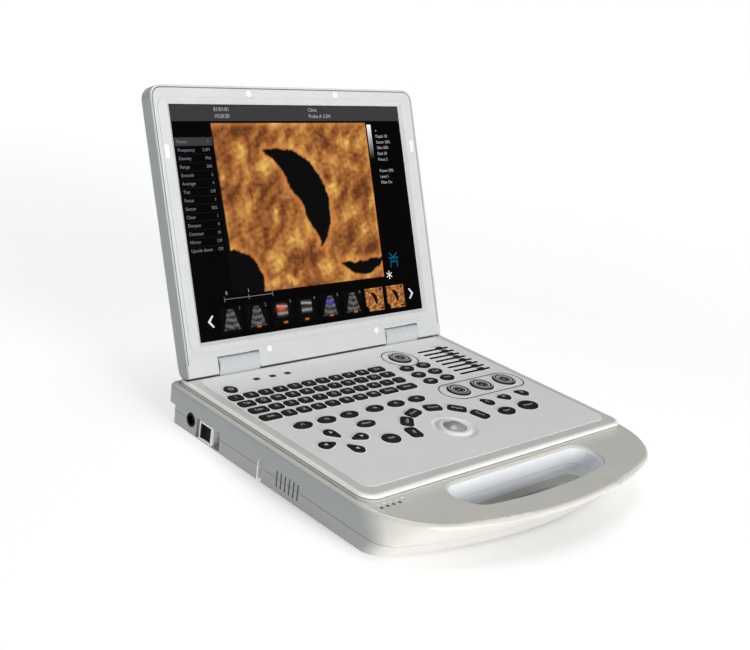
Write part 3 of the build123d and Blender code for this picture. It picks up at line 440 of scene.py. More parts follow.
dark = moulded("dark_plastic", rgb(44, 46, 50), 0.5, grain=1800.0, edge=0.0003, tint=0.10)
white_rubber = moulded("white_rubber", rgb(240, 240, 238), 0.6, edge=0, tint=0.02)
black_rubber = moulded("black_rubber", rgb(32, 32, 33), 0.8, grain=1500.0, edge=0.0003, tint=0.12)
mat_rubber = moulded("grey_silicone", rgb(120, 122, 126), 0.6, edge=0.0002)
ball = moulded("ball_resin", rgb(158, 157, 154), 0.16, grain=700.0, depth=0.00001, edge=0, tint=0.05,
               coat=0.4)
ball.flecks(2400.0, rgb(120, 119, 117), 0.5)
lens = moulded("smoked_lens", rgb(10, 10, 12), 0.4, edge=0, tint=0.1, specular=0.12)
rocker_black = moulded("rocker_black", rgb(4, 5, 8), 0.3, edge=0.0001, tint=0.1, specular=0.06)
white_frame = moulded("white_frame", rgb(248, 249, 250), 0.4, edge=0.0003, tint=0.02)
gasket = moulded("seam_gasket", rgb(96, 116, 138), 0.6, edge=0, tint=0.05)
lamp_green = moulded("lamp_green", rgb(6, 84, 46), 0.35, edge=0, tint=0.12, specular=0.3)
lamp_green.glow(rgb(6, 96, 54), 0.3)
lamp_off = moulded("lamp_clear", rgb(214, 216, 214), 0.25, edge=0, tint=0.03)
battery = Look("battery_wrap", rgb(48, 48, 54), 0.35)
battery.drift(60.0, 0.15).bump(90.0, 0.0004, 0.4).gloss(200.0, 0.08)


def inside_box(look, low, high, soft=(0.0002, 0.0002, 0.0002)):
    """1 inside a box of the device frame (mm), 0 outside it, from position."""
    split = look.node("SeparateXYZ")
    look.link(look.place, split.inputs[0])
    origin = DEVICE.translation
    total = None
    for axis in range(3):
        for edge, start, end in ((low[axis], 0, 1), (high[axis], 1, 0)):
            at = edge * MM + origin[axis]
            step = look.spread(split.outputs[axis], start, end, at, at + soft[axis])
            if total is None:
                total = step
                continue
            both = look.node("Math")
            both.operation = "MULTIPLY"
            look.link(total, both.inputs[0]).link(step, both.inputs[1])
            total = both.outputs["Value"]
    return total


PAINTED_LIGHT_WALLS = (  # painted light on the walls of the carrying-handle opening and of the lock notch: box in the device frame, and the lighter wall colour
    ((-100, -46, 9), (100, -1.5, CASE_TOP - 2.2), rgb(244, 248, 252)),
    ((-181.4, 133.4, 0), (-175, 134.6, 22), rgb(252, 252, 252)),
)
# painted shade: the case's left side, which faces away from the key light, is coloured darker grey
shell.tint = shell.mixed(inside_box(shell, (-200, -80, -20), (-182, 320, CASE_TOP - 3), (0.007, 0.02, 0.002)),
                         shell.tint, rgb(164, 168, 168))
# painted light: these walls are coloured near white for the light that falls on them
for low, high, colour in PAINTED_LIGHT_WALLS:
    shell.tint = shell.mixed(inside_box(shell, low, high), shell.tint, colour)
shell.link(shell.tint, shell.shader.inputs["Base Color"])
# painted shade: the lid's left side, which faces away from the key light, is coloured darker
lid_side_painted_shade = inside_box(lid_paint, (-190, -200, 30), (-173.6, 500, 400), (0.002, 0.002, 0.002))
lid_paint.tint = lid_paint.mixed(lid_side_painted_shade, lid_paint.tint, rgb(166, 171, 171))
lid_paint.link(lid_paint.tint, lid_paint.shader.inputs["Base Color"])
barrel_paint = moulded("barrel_paint", rgb(196, 201, 204), 0.25, coat=0.5)
# painted shade: the gutter floor between deck and lid is coloured dark blue for the shade in the gap
gutter_painted_shade = inside_box(trim, (-171, 256.4, 37), (171, 280, 40.8))
trim.link(trim.mixed(gutter_painted_shade, trim.tint, rgb(44, 70, 96)), trim.shader.inputs["Base Color"])

steel = Look("brushed_steel", rgb(176, 178, 180), 0.32, metal=1.0)
steel.drift(500.0, 0.10, vector=steel.stretched(0.04, 1, 1)).gloss(900.0, 0.10, steel.stretched(0.04, 1, 1))
steel.bump(1500.0, 0.00002, 0.4, steel.stretched(0.04, 1, 1))
zinc = Look("zinc_screw", rgb(170, 172, 176), 0.3, metal=1.0)
zinc.drift(900.0, 0.12).gloss(1500.0, 0.08).bump(2600.0, 0.00002, 0.3)
aluminium = Look("extruded_aluminium", rgb(196, 198, 200), 0.35, metal=1.0)
aluminium.drift(600.0, 0.08, vector=aluminium.stretched(1, 0.04, 1))
aluminium.gloss(900.0, 0.08, aluminium.stretched(1, 0.04, 1))
aluminium.bump(1800.0, 0.00002, 0.3, aluminium.stretched(1, 0.04, 1))

solder = Look("solder_mask", rgb(22, 84, 48), 0.35, coat=0.3)
traces = solder.node("TexBrick", Scale=240.0, Mortar_Size=0.03, Brick_Width=1.7, Row_Height=0.35)
solder.link(solder.place, traces.inputs["Vector"])
traces.inputs["Color1"].default_value = rgb(24, 92, 52)
traces.inputs["Color2"].default_value = rgb(18, 72, 42)
traces.inputs["Mortar"].default_value = rgb(58, 132, 78)
solder.link(traces.outputs["Color"], solder.shader.inputs["Base Color"])
solder.gloss(500.0, 0.06).bump(1800.0, 0.00002, 0.3)

NODE_LOOKS = {
    shell: ["bottom_case", "top_case"],
    case: ["battery_door"],
    white_frame: ["rocker_frame"],
    lid_paint: ["lid_back_cover", "lid_bezel"],
    barrel_paint: ["hinge_barrels"],
    trim: ["deck_frame"],
    panel: ["deck_panel"],
    mat_rubber: ["key_mat"],
    solder: ["keypad_board", "slide_board", "main_board", "beamformer_board", "power_board"],
    dark: ["knob_encoders", "fan_frame", "fan_rotor", "speaker", "probe_panel", "probe_sockets",
           "trackball_housing", "lcd_module"],
    rocker_black: ["dc_socket", "rocker_switch"],
    steel: ["shield_can", "io_plate", "io_sockets", "hinge_brackets", "hinge_arms", "hinge_pins"],
    zinc: ["case_screws", "lid_screws"],
    aluminium: ["heat_sink"],
    battery: ["battery_pack"],
    black_rubber: ["rubber_feet"],
}
for look, names in NODE_LOOKS.items():
    for name in names:
        materials = frame["nodes"][name].data.materials
        materials.clear()
        materials.append(look.material)

# ---------------------------------------------------------------- keys
KEY_H, KEY_SPACE, KEYS_LEFT, PLAIN = 10.6, 3.05, -163.4, 14.7
ROWS = (
    (205.4, [PLAIN] * 10 + [19.7], "1 2 3 4 5 6 7 8 9 0 Del"),
    (190.5, [17.7] + [PLAIN] * 9 + [16.7], "Tab Q W E R T Y U I O P"),
    (174.7, [20.7] + [PLAIN] * 9 + [13.7], "Caps A S D F G H J K L ;"),
    (158.3, [22.7] + [PLAIN] * 7 + [20.7, 23.45], "Shift Z X C V B N M Space Enter"),
)
BALL_X, BALL_Y, BALL_Z, BALL_R = -3.5, 67.5, 33.3, 16.0
ARC_RX, ARC_RY = 47.5, 42.75
PAD_X, PAD_Y = -123.2, 90.4


def row_keys(index):
    """Keys of one row from the left edge: kind, x, y, width, height, turn, legend."""
    y, widths, legends = ROWS[index]
    left, keys = KEYS_LEFT, []
    for width, text in zip(widths, legends.split()):
        keys.append(("bar", left + width / 2, y, width, KEY_H, 0, text))
        left += width + KEY_SPACE
    return keys


def arc_keys():
    keys = []
    legends = ("Set", "Clear", "Measure", "Zoom", "Depth", "Focus")
    for angle, text in zip((169, 138, 109, 75, 43.5, 13), legends):
        x = BALL_X + ARC_RX * cos(radians(angle))
        y = BALL_Y + ARC_RY * sin(radians(angle))
        keys.append(("bar", x, y, 19.0, 12.6, angle - 90, text))
    return keys


KEY_GROUPS = {
    "number_keys": row_keys(0),
    "letter_keys": row_keys(1) + row_keys(2) + row_keys(3),
    "function_keys": [("oval", x, 131.5, 20.6, 12.2, 0, f"F{i + 1}")
                      for i, x in enumerate((-136.1, -107.8, -80.0, -47.3, -19.1, 9.2))],
    "arrow_keys": [
        ("drop", PAD_X, PAD_Y + 15.8, 17.5, 14.6, 290, "mark"),
        ("drop", PAD_X - 19.0, PAD_Y, 18.0, 14.6, 0, "mark"),
        ("drop", PAD_X + 19.0, PAD_Y, 18.0, 14.6, 180, "mark"),
        ("drop", PAD_X, PAD_Y - 15.8, 17.5, 14.6, 110, "mark"),
        ("oval", -79.1, 109.2, 21.0, 12.0, 0, "Menu"),
        ("oval", -79.1, 75.5, 19.0, 17.0, 0, "Exit"),
    ],
    "scan_keys": arc_keys() + [
        ("oval", 76.2, 71.2, 20.8, 15.2, 0, "Save"),
        ("oval", 109.3, 71.5, 24.0, 18.4, 0, "Freeze"),
        ("drop", 74.2, 95.4, 16.0, 14.0, 118, "C"),
        ("drop", 101.0, 96.6, 16.0, 14.0, 160, "M"),
        ("drop", 128.8, 96.6, 16.0, 14.0, 138, "B"),
    ] + [("oval", x, y, 18.0, 12.5, 0, text)
         for x, column in ((57.8, ("3D", "4D", "B/B")), (82.6, ("PW", "Cine", "Print")))
         for y, text in zip((194.5, 176.9, 159.3), column)],
    "power_key": [("oval", -149.0, 223.2, 14.0, 14.0, 0, "power")],
}

KEY_LEVELS = [  # how far the outline stands out, and its height
    (KEY_FLANGE, KEY_BOTTOM), (KEY_FLANGE, KEY_BOTTOM + 0.8), (0.0, KEY_BOTTOM + 0.8), (0.0, 45.15),
    (-0.06, 45.50), (-0.20, 45.72), (-0.50, 45.86), (-0.90, KEY_TOP), (-2.6, 45.80), (-3.4, 45.72),
]
LEGEND_Z = 45.78


def power_mark(bm, x, y, z):
    """Ring with a gap and a bar in it."""
    count, inner, outer = 20, 2.0, 2.7
    arc = [radians(125 + 290 * k / count) for k in range(count + 1)]
    points = [(x + outer * cos(a), y + outer * sin(a)) for a in arc]
    points += [(x + inner * cos(a), y + inner * sin(a)) for a in reversed(arc)]
    plate(bm, points, z, z + 0.05)
    bar = [(-0.35, 0.4), (0.35, 0.4), (0.35, 3.0), (-0.35, 3.0)]
    plate(bm, [(x + px, y + py) for px, py in bar], z, z + 0.05)


for group, keys in KEY_GROUPS.items():
    caps, marks, halos = bmesh.new(), bmesh.new(), bmesh.new()
    for kind, x, y, width, height, turn, text in keys:
        deep = min(width, height) / 2 - 0.4
        levels = [(max(grow, -deep), z) for grow, z in KEY_LEVELS]
        skinned([placed(key_outline(kind, width, height, g), x, y, z, turn) for g, z in levels], caps)
        z = LEGEND_Z
        if text == "mark":
            tip = [(2.2, 0), (-1.6, 2.1), (-1.6, -2.1)]
            centre = placed([(-2.2, 0)], x, y, z, turn)[0]
            plate(marks, [p[:2] for p in placed(tip, centre[0], centre[1], z, turn + 180)], z, z + 0.05)
        elif text == "power":
            power_mark(marks, x, y, z)
        else:
            tilt = turn if kind == "bar" else 0
            size = 6.0 if len(text) == 1 else min(4.6, 1.45 * (width - 3.0) / len(text))
            where = Matrix.Translation((x, y, z + 0.025)) @ Matrix.Rotation(radians(tilt), 4, "Z")
            lettering(marks, text, size, where)
        inner = placed(key_outline(kind, width, height, 0.42), x, y, 0, turn)
        outer = placed(key_outline(kind, width, height, 1.5), x, y, 0, turn)
        flat_ring(halos, inner, outer, PANEL_TOP - 0.1, PANEL_TOP + 0.04)
    piece(group + "_caps", caps, key, group, replaces=[group])
    piece(group + "_legends", marks, legend, group)
    piece(group + "_halos", halos, halo, "base")

# ---------------------------------------------------------------- rotary knobs
KNOB_Z = PANEL_TOP + 0.3
KNOBS = {"gain_knob": (72.0, 219.5), "rotary_knob_1": (68.0, 129.0), "rotary_knob_2": (103.2, 129.0),
         "rotary_knob_3": (138.4, 129.0)}
KNOB_PROFILE = [  # radius, height above the skirt's underside, and material of the band that starts there
    (0.0, 0.0, 0), (12.7, 0.0, 0), (12.8, 0.15, 0), (12.75, 0.7, 0), (12.2, 1.15, 0), (11.7, 1.6, 1),
    (11.3, 1.7, 1), (9.7, 1.7, 0), (9.3, 1.45, 0), (8.4, 1.5, 2), (6.7, 1.35, 0), (6.4, 1.1, 0),
    (5.6, 1.15, 1), (4.9, 1.1, 0), (4.6, 0.95, 0), (1.5, 0.95, 1), (1.3, 1.05, 1), (0.0, 1.1, 1),
]
for name, (x, y) in KNOBS.items():
    bm = bmesh.new()
    outline = [(r, KNOB_Z + z) for r, z, _ in KNOB_PROFILE]
    lathe(bm, outline, 72, (x, y), [slot for _, _, slot in KNOB_PROFILE])
    for v in bm.verts:  # grip flutes round the wall
        radius = sqrt((v.co.x - x) ** 2 + (v.co.y - y) ** 2)
        if 11.6 < radius < 12.3 and v.co.z > KNOB_Z + 0.9:
            turn = np.arctan2(v.co.y - y, v.co.x - x)
            share = 1 - 0.018 * (0.5 + 0.5 * cos(turn * 36))
            v.co.x, v.co.y = x + (v.co.x - x) * share, y + (v.co.y - y) * share
    pointer = [(-0.4, 10.2), (0.4, 10.2), (0.4, 11.4), (-0.4, 11.4)]
    plate(bm, [(x + px, y + py) for px, py in pointer], KNOB_Z + 1.5, KNOB_Z + 1.75)
    lathe(bm, [(0, 33.0), (3.0, 33.0), (3.0, KNOB_Z + 0.1), (0, KNOB_Z + 0.1)], 32, (x, y))
    piece(name + "_turned", bm, [black, knob_grey, knob_pale], name, replaces=[name])

# ---------------------------------------------------------------- gain slides
SLIDE_REST, SLIDE_Y0, SLIDE_PITCH, SLIDES = 138.0, 160.9, 9.07, 8
SLIDE_X0, SLIDE_X1, SLOT_W = 104.5, 152.0, 3.2
CAP_Z = PANEL_TOP + 0.3
for i in range(SLIDES):
    x, y = SLIDE_REST, SLIDE_Y0 + SLIDE_PITCH * i
    bm = bmesh.new()
    cap_levels = [(9.2, 5.4, 2.4, 0.0), (9.6, 5.8, 2.6, 0.25), (9.6, 5.8, 2.6, 0.7), (9.0, 5.3, 2.4, 1.1),
                  (6.6, 4.9, 2.2, 1.2), (3.4, 4.6, 1.6, 1.25), (2.7, 4.6, 1.2, 1.5), (2.4, 4.4, 1.1, 1.8),
                  (1.8, 3.8, 0.8, 1.9)]
    skinned([placed(bar_outline(w, h, r), x, y, CAP_Z + z) for w, h, r, z in cap_levels], bm)
    skinned([placed(bar_outline(3.6, 2.2, 0.3), x, y, z) for z in (41.0, CAP_Z + 0.2)], bm)
    skinned([placed(bar_outline(6.4, 5.6, 0.3), x, y, z) for z in (39.4, 41.2)], bm)
    slide = f"gain_slide_{i + 1}"
    piece(slide + "_cap", bm, black, slide, replaces=[slide])

# ---------------------------------------------------------------- print on the deck, and painted shade in the gain slots
prints, pale, slot_shade_liners = bmesh.new(), bmesh.new(), bmesh.new()
PRINT_LOW, PRINT_HIGH = PANEL_TOP - 0.1, PANEL_TOP + 0.05
gx, gy = KNOBS["gain_knob"]
flat_ring(prints, placed(oval_outline(38.6, 38.6, 72), gx, gy, 0),
          placed(oval_outline(41.2, 41.2, 72), gx, gy, 0), PRINT_LOW, PRINT_HIGH)
PILL = (103.2, 128.6, 116.4, 37.0)
px, py, pw, ph = PILL
flat_ring(prints, placed(bar_outline(pw - 2.6, ph - 2.6, ph / 2 - 1.32, 20), px, py, 0),
          placed(bar_outline(pw, ph, ph / 2 - 0.02, 20), px, py, 0), PRINT_LOW, PRINT_HIGH)
for i in range(11):  # tick marks round the gain knob
    a = radians(225 - 27 * i)
    tick = [(-0.25, 21.4), (0.25, 21.4), (0.25, 22.8), (-0.25, 22.8)]
    where = placed(tick, gx, gy, 0, np.degrees(a) - 90)
    if where[2][0] < 97:
        plate(prints, [p[:2] for p in where], PRINT_LOW, PRINT_HIGH)
for i in range(SLIDES):
    y = SLIDE_Y0 + SLIDE_PITCH * i
    length, middle = SLIDE_X1 - SLIDE_X0, (SLIDE_X0 + SLIDE_X1) / 2
    # mesh, growth and corner of the inner and the outer outline, low and high
    for bm, (near, near_r), (far, far_r), low, high in (
            (pale, (0.2, 0.0), (3.4, 1.6), PRINT_LOW, PRINT_HIGH - 0.01),
            (prints, (0.04, -0.02), (0.8, 0.36), PRINT_LOW, PRINT_HIGH),
            (slot_shade_liners, (-0.4, -0.22), (-0.02, -0.02), 42.0, PRINT_HIGH)):
        inner = bar_outline(length + near, SLOT_W + near, SLOT_W / 2 + near_r, 8)
        outer = bar_outline(length + far, SLOT_W + far, SLOT_W / 2 + far_r, 8)
        flat_ring(bm, placed(inner, middle, y, 0), placed(outer, middle, y, 0), low, high)
for x, y in KNOBS.values():
    flat_ring(pale, placed(oval_outline(25.0, 25.0, 72), x, y, 0),
              placed(oval_outline(29.0, 29.0, 72), x, y, 0), PRINT_LOW, PRINT_HIGH - 0.01)
piece("deck_print_lines", prints, ink, "base")
piece("deck_print_pale", pale, halo, "base")
# black lining on the slot walls: painted shade in the deep gain slots
piece("gain_slot_painted_shade", slot_shade_liners, black, "base")

# lenses above the keys
bm = bmesh.new()
for x in (-108.8, -88.9, -70.0):
    levels = [(0.0, 41.6), (0.0, PANEL_TOP + 0.02), (-0.2, PANEL_TOP + 0.16), (-0.6, PANEL_TOP + 0.2)]
    skinned([placed(bar_outline(7.4 + 2 * g, 5.2 + 2 * g, 1.6 + g), x, 235.4, z) for g, z in levels], bm)
piece("deck_lens_windows", bm, lens, "base", replaces=["deck_lenses"])

# ---------------------------------------------------------------- trackball
bm = bmesh.new()
bmesh.ops.create_icosphere(bm, subdivisions=5, radius=BALL_R,
                           matrix=Matrix.Translation((BALL_X, BALL_Y, BALL_Z)))
piece("trackball_polished", bm, ball, "trackball", replaces=["trackball"], sharp=60)

RING_LOW = 41.6
ring_profile = [
    (13.1, RING_LOW + 1.7), (13.1, 43.3), (11.3, 45.0), (11.3, 45.15), (11.8, 45.32), (12.8, 45.4),
    (14.1, 45.38), (14.9, 45.25), (15.8, 44.7), (16.5, 43.9), (17.1, 43.1), (17.7, 42.75), (18.4, 42.7),
    (19.4, 42.95), (20.6, 43.4), (21.8, 43.95), (22.6, 44.35), (23.0, 44.5), (23.0, RING_LOW + 0.2),
    (17.0, RING_LOW + 0.2), (16.4, RING_LOW + 1.7), (13.1, RING_LOW + 1.7),
]
bm = lathe(bmesh.new(), ring_profile, 96, (BALL_X, BALL_Y))
piece("trackball_dish", bm, panel, "base", replaces=["trackball_ring"], sharp=50)

# ---------------------------------------------------------------- lamps on the handle and their icons
LAMP_R = 1.5
lit, clear, icons = bmesh.new(), bmesh.new(), bmesh.new()
for i in range(5):
    x, y = -168.0 + 6.8 * i, -7.3
    dome = [(0, 34.0), (LAMP_R, 34.0), (LAMP_R, CASE_TOP + 0.05), (1.3, CASE_TOP + 0.2),
            (0.8, CASE_TOP + 0.28), (0, CASE_TOP + 0.3)]
    lathe(lit if i < 4 else clear, dome, 28, (x, y))
    z = CASE_TOP
    kind = i % 3
    if kind == 0:
        shape = [(-1.5, -1.2), (1.5, -1.2), (0, 1.6)]
    elif kind == 1:
        shape = bar_outline(3.2, 2.0, 0.4, 3)
    else:
        shape = oval_outline(2.6, 2.6, 16)
    plate(icons, [p[:2] for p in placed(shape, x + 0.3, y + 4.4, z)], z - 0.05, z + 0.05)
piece("status_lamps_lit", lit, lamp_green, "base", replaces=["status_lamps"])
piece("status_lamp_clear", clear, lamp_off, "base")
piece("status_lamp_icons", icons, icon_ink, "base")

# ---------------------------------------------------------------- buffers on the bezel, and the seam gasket round the lid
bm = bmesh.new()
for x, z in ((58, LCD_Z + 238.8), (74, LCD_Z - 16)):
    for s in (-1, 1):
        button = bmesh.new()
        lathe(button, [(0, 0), (3.3, 0), (3.3, 0.6), (3.05, 0.95), (2.5, 1.15), (0, 1.2)], 40)
        mesh = bpy.data.meshes.new("button")
        button.to_mesh(mesh)
        button.free()
        add_mesh(bm, mesh, Matrix.Translation((s * x, FIELD_Y, z)) @ Matrix.Rotation(radians(90), 4, "X"))
        bpy.data.meshes.remove(mesh)
for s in (-1, 1):
    levels = [(0.0, 0.0), (0.0, 0.45), (-0.25, 0.65), (-0.6, 0.7)]
    loops = []
    for grow, out in levels:
        outline = bar_outline(5 + 2 * grow, 13 + 2 * grow, 1.2 + grow)
        loops.append([(s * 163.5 + px, LID_FRONT - out, LCD_Z + 183 + py) for px, py in outline])
    skinned(loops, bm)
piece("lid_buffer_pads", bm, white_rubber, "lid", place=LID, replaces=["lid_buffers"])

LID_HALF_W, LID_TOP, LID_CORNER = 173.75, 269.8, 13.0
bm = bmesh.new()
loops = []
for inset, y in ((2.05, -2.5), (2.05, -4.3), (2.95, -4.3), (2.95, -2.5)):
    half_w, top, radius = LID_HALF_W - inset, LID_TOP - inset, LID_CORNER - inset
    path = [(half_w, 6.0)]
    for cx, start in ((half_w - radius, 0), (radius - half_w, 90)):
        for k in range(13):
            a = radians(start + 90 * k / 12)
            path.append((cx + radius * cos(a), top - radius + radius * sin(a)))
    loops.append([(x, y, z) for x, z in path + [(-half_w, 6.0)]])
ends = [[loop[i] for loop in loops] for i in range(len(loops[0]))]
skinned(ends, bm)
piece("lid_seam_gasket", bm, gasket, "lid", place=LID)

# ---------------------------------------------------------------- the display
GLASS_HALF_W, GLASS_Z0, GLASS_Z1 = 155.0, LCD_Z - 3, LCD_Z + SCREEN_H + 3


def upright_loop(points, y):
    """Flat outline stood up in the lid frame, facing the user."""
    return [(x, y, z) for x, z in points]


glass_look = Look("display_glass", rgb(2, 2, 2), 0.5, specular=0.03)
glass_look.drift(8.0, 0.2).gloss(60.0, 0.03)
bm = bmesh.new()
middle = (GLASS_Z0 + GLASS_Z1) / 2
loops = []
for grow, y in ((0, -1.07), (0, GLASS_Y + 0.1), (-0.1, GLASS_Y)):
    outline = bar_outline(2 * GLASS_HALF_W + 2 * grow, GLASS_Z1 - GLASS_Z0 + 2 * grow, 1.0, 3)
    loops.append(upright_loop([(px, middle + py) for px, py in outline], y))
skinned(loops, bm)
piece("display_front", bm, glass_look, "lid", place=LID, replaces=["lcd_glass"])


def glowing(name, colour, rough=0.3):
    """Lit part of the display."""
    look = Look(name, scaled(colour, 0.03), rough, specular=0.03)
    look.drift(200.0, 0.1)
    return look.glow(colour, 1.0)


def painted_glow(name):
    """Lit part of the display whose colour is stored on the mesh."""
    look = Look(name, (0.002, 0.002, 0.002, 1), 0.5, specular=0.03)
    colours = look.node("VertexColor")
    colours.layer_name = "picture"
    look.drift(200.0, 0.1)
    look.link(colours.outputs["Color"], look.shader.inputs["Emission Color"])
    look.shader.inputs["Emission Strength"].default_value = 1.0
    return look


def picture(name, x0, x1, z0, z1, step, paint, look, lift):
    """Flat grid on the display, coloured by paint(x, z) in millimetres above the picture's lower edge."""
    nx, nz = int((x1 - x0) / step) + 1, int((z1 - z0) / step) + 1
    xs, zs = np.meshgrid(np.linspace(x0, x1, nx), np.linspace(z0, z1, nz))
    colour = np.clip(paint(xs, zs), 0, 1).reshape(-1, 3)
    bm = bmesh.new()
    layer = bm.verts.layers.float_color.new("picture")
    verts = [bm.verts.new((x, GLASS_Y - lift, LCD_Z + z)) for x, z in zip(xs.ravel(), zs.ravel())]
    for vert, value in zip(verts, colour):
        vert[layer] = (*value, 1.0)
    for j in range(nz - 1):
        for i in range(nx - 1):
            k = j * nx + i
            bm.faces.new((verts[k], verts[k + 1], verts[k + nx + 1], verts[k + nx]))
    piece(name, bm, look, "lid", place=LID)


def lerp_colours(value, stops):
    """Colour ramp: stops are (position, r, g, b) on the display's 0 to 255 scale."""
    place = [s[0] for s in stops]
    return np.stack([np.interp(value, place, [linear(s[c]) for s in stops]) for c in (1, 2, 3)], -1)


def ripple(x, z, scale, seed, octaves=4):
    """Smooth unsteady relief, from sums of turned sine waves."""
    rng = np.random.default_rng(seed)
    total = np.zeros_like(x)
    for octave in range(octaves):
        k = 2 ** octave / scale
        for _ in range(4):
            angle, phase = rng.uniform(0, 2 * pi, 2)
            total += np.sin((x * cos(angle) + z * sin(angle)) * k * 2 * pi + phase) / 2 ** octave
    return total / 7.5


def segment_distance(x, z, ax, az, bx, bz):
    lx, lz = bx - ax, bz - az
    size = max(lx * lx + lz * lz, 1e-6)
    t = np.clip(((x - ax) * lx + (z - az) * lz) / size, 0, 1)
    return np.hypot(x - ax - t * lx, z - az - t * lz)


PICTURE_MIDDLE, PICTURE_REACH = (-4, 125), (125, 105)
LOBES, GOLDEN_ANGLE = 54, pi * (3 - sqrt(5))
CAVITIES = (  # arc that a dark hollow follows: centre x and z, radius, start and sweep in degrees, half width
    (-62, 104, 80, 76, -92, 19), (-110, 42, 12, 0, 90, 34), (70, 128, 74, 246, 50, 6),
)
AMBER = ((0.0, 0, 0, 0), (0.10, 58, 30, 14), (0.28, 122, 70, 34), (0.45, 160, 98, 48), (0.62, 192, 132, 66),
         (0.80, 222, 178, 90), (1.0, 246, 226, 124))


def lobes():
    """Swellings, and furrows below zero, on a sunflower spiral: start, end, radius, strength."""
    rng = np.random.default_rng(31)
    for k in range(LOBES):
        reach, turn = sqrt((k + 0.5) / LOBES), k * GOLDEN_ANGLE
        x = PICTURE_MIDDLE[0] + PICTURE_REACH[0] * reach * cos(turn)
        z = PICTURE_MIDDLE[1] + PICTURE_REACH[1] * reach * sin(turn)
        lean, run = turn + pi / 2 + rng.uniform(-0.8, 0.8), rng.uniform(3, 14)
        radius, strength = rng.uniform(4, 12), rng.uniform(0.2, 0.6)
        yield x, z, x + run * cos(lean), z + run * sin(lean), radius, strength if k % 3 else -0.6 * strength


def cavity(x, z, centre_x, centre_z, radius, start, sweep, half_width, steps=36):
    """Distance to a hollow that follows an arc and narrows to both ends, below zero inside it."""
    near = np.full_like(x, 1e3)
    for k in range(steps + 1):
        turn = radians(start + sweep * k / steps)
        reach = half_width * sin(pi * (k + 0.5) / (steps + 1))
        across = np.hypot(x - centre_x - radius * cos(turn), z - centre_z - radius * sin(turn))
        near = np.minimum(near, across - reach)
    return near


def tissue(x, z):
    """Amber relief of soft folds round dark hollows, of no particular organ."""
    wx, wz = x + 1.6 * ripple(x, z, 13, 3), z + 1.6 * ripple(x, z, 12, 4)
    tone = 0.42 + 0.10 * ripple(wx, wz, 30, 1) + 0.10 * ripple(wx, wz * 1.4, 9, 2)
    for ax, az, bx, bz, r, strength in lobes():
        tone += 0.62 * strength * np.exp(-(segment_distance(wx, wz, ax, az, bx, bz) / r) ** 2)
    bend_x, bend_z = wx + 5 * ripple(wx, wz, 40, 8, 2), wz + 5 * ripple(wx, wz, 36, 9, 2)
    for scale, seed, depth in ((30, 5, 0.4), (13, 6, 0.18)):
        tone += depth * (ripple(bend_x + 1.2, bend_z - 1.2, scale, seed, 2)
                         - ripple(bend_x - 1.2, bend_z + 1.2, scale, seed, 2))
    tone -= 0.09 * np.exp(-(ripple(bend_x, bend_z, 34, 7, 2) / 0.07) ** 2)
    tone = np.maximum(tone, 0.2)
    void = np.minimum.reduce([cavity(bend_x, bend_z, *shape) for shape in CAVITIES])
    edge = np.exp(-((void - 3) / 3.5) ** 2)
    border = np.exp(-((np.minimum(100 - x, 210.5 - z) - 1) / 3) ** 2)
    rim = np.clip(edge * 0.8 + border * 0.7, 0, 1)[..., None]
    colour = lerp_colours(tone + 0.10 * rim[..., 0], AMBER)
    orange = np.array(rgb(222, 138, 72)[:3])
    colour = colour * (1 - 0.5 * rim) + orange * 0.5 * rim
    colour *= np.clip(void / 1.8, 0, 1)[..., None]
    return colour * np.clip((x + 107 - (210 - z) * 0.03) / 1.0, 0, 1)[..., None]


amber_look = painted_glow("display_relief")
picture("display_relief", -107.5, 99.5, 41, 210, 0.75, tissue, amber_look, 0.04)


def grey_sector(seed, tilt=0.0, spot=None):
    """Small grey fan-shaped picture; spot is the colour of a patch in it."""
    def paint(x, z):
        cx = (x.min() + x.max()) / 2
        u, w = x - cx - tilt * (z - 18), z - 8
        inside = (np.abs(u) < 4 + (27 - z) * 0.30) & (w > 0) & (z < 28)
        arcs = np.cos(np.hypot(u, z - 34) * 1.1 + 2 * ripple(x, z, 16, seed + 40))
        tone = 0.30 + 0.16 * ripple(x, z, 7, seed) + 0.10 * arcs
        tone = np.where(inside, tone, 0.004)
        grey = np.stack([tone ** 2.2] * 3, -1)
        if spot:
            near = np.exp(-((u - 0.5) ** 2 / 14 + (z - 21) ** 2 / 6))[..., None]
            grey = grey * (1 - near) + np.array(spot) * near
        return grey
    return paint


def lined_sector(seed, spot=None):
    """Small picture of level bright bands."""
    def paint(x, z):
        cx = (x.min() + x.max()) / 2
        tone = 0.16 + 0.5 * np.exp(-((z - 24 + 0.1 * (x - cx)) ** 2) / 2) + 0.4 * np.exp(-((z - 17) ** 2) / 3)
        tone += 0.1 * ripple(x, z, 8, seed)
        inside = (np.abs(x - cx) < 7) & (z > 13) & (z < 27)
        tone = np.where(inside, np.clip(tone, 0, 1), 0.004)
        grey = np.stack([tone ** 2.2] * 3, -1)
        if spot:
            near = np.exp(-((x - cx + 1) ** 2 / 22 + (z - 22) ** 2 / 7))[..., None]
            grey = grey * (1 - near) + np.array(spot) * near
        return grey
    return paint


def small_tissue(x, z):
    cx, cz = (x.min() + x.max()) / 2, (z.min() + z.max()) / 2
    return tissue((x - cx) * 7.4, (z - cz) * 7.0 + 128)


THUMB_X0, THUMB_PITCH, THUMB_W = -113.0, 32.3, 26.5
thumbs = [grey_sector(11), grey_sector(12), lined_sector(13, rgb(240, 84, 26)[:3]), lined_sector(14),
          grey_sector(15, 0.1, rgb(60, 66, 190)[:3]), grey_sector(16), small_tissue, small_tissue]
for i, paint in enumerate(thumbs):
    x = THUMB_X0 + THUMB_PITCH * i
    picture(f"display_thumb_{i + 1}", x - THUMB_W / 2, x + THUMB_W / 2, 5, 30, 0.6, paint, amber_look, 0.04)

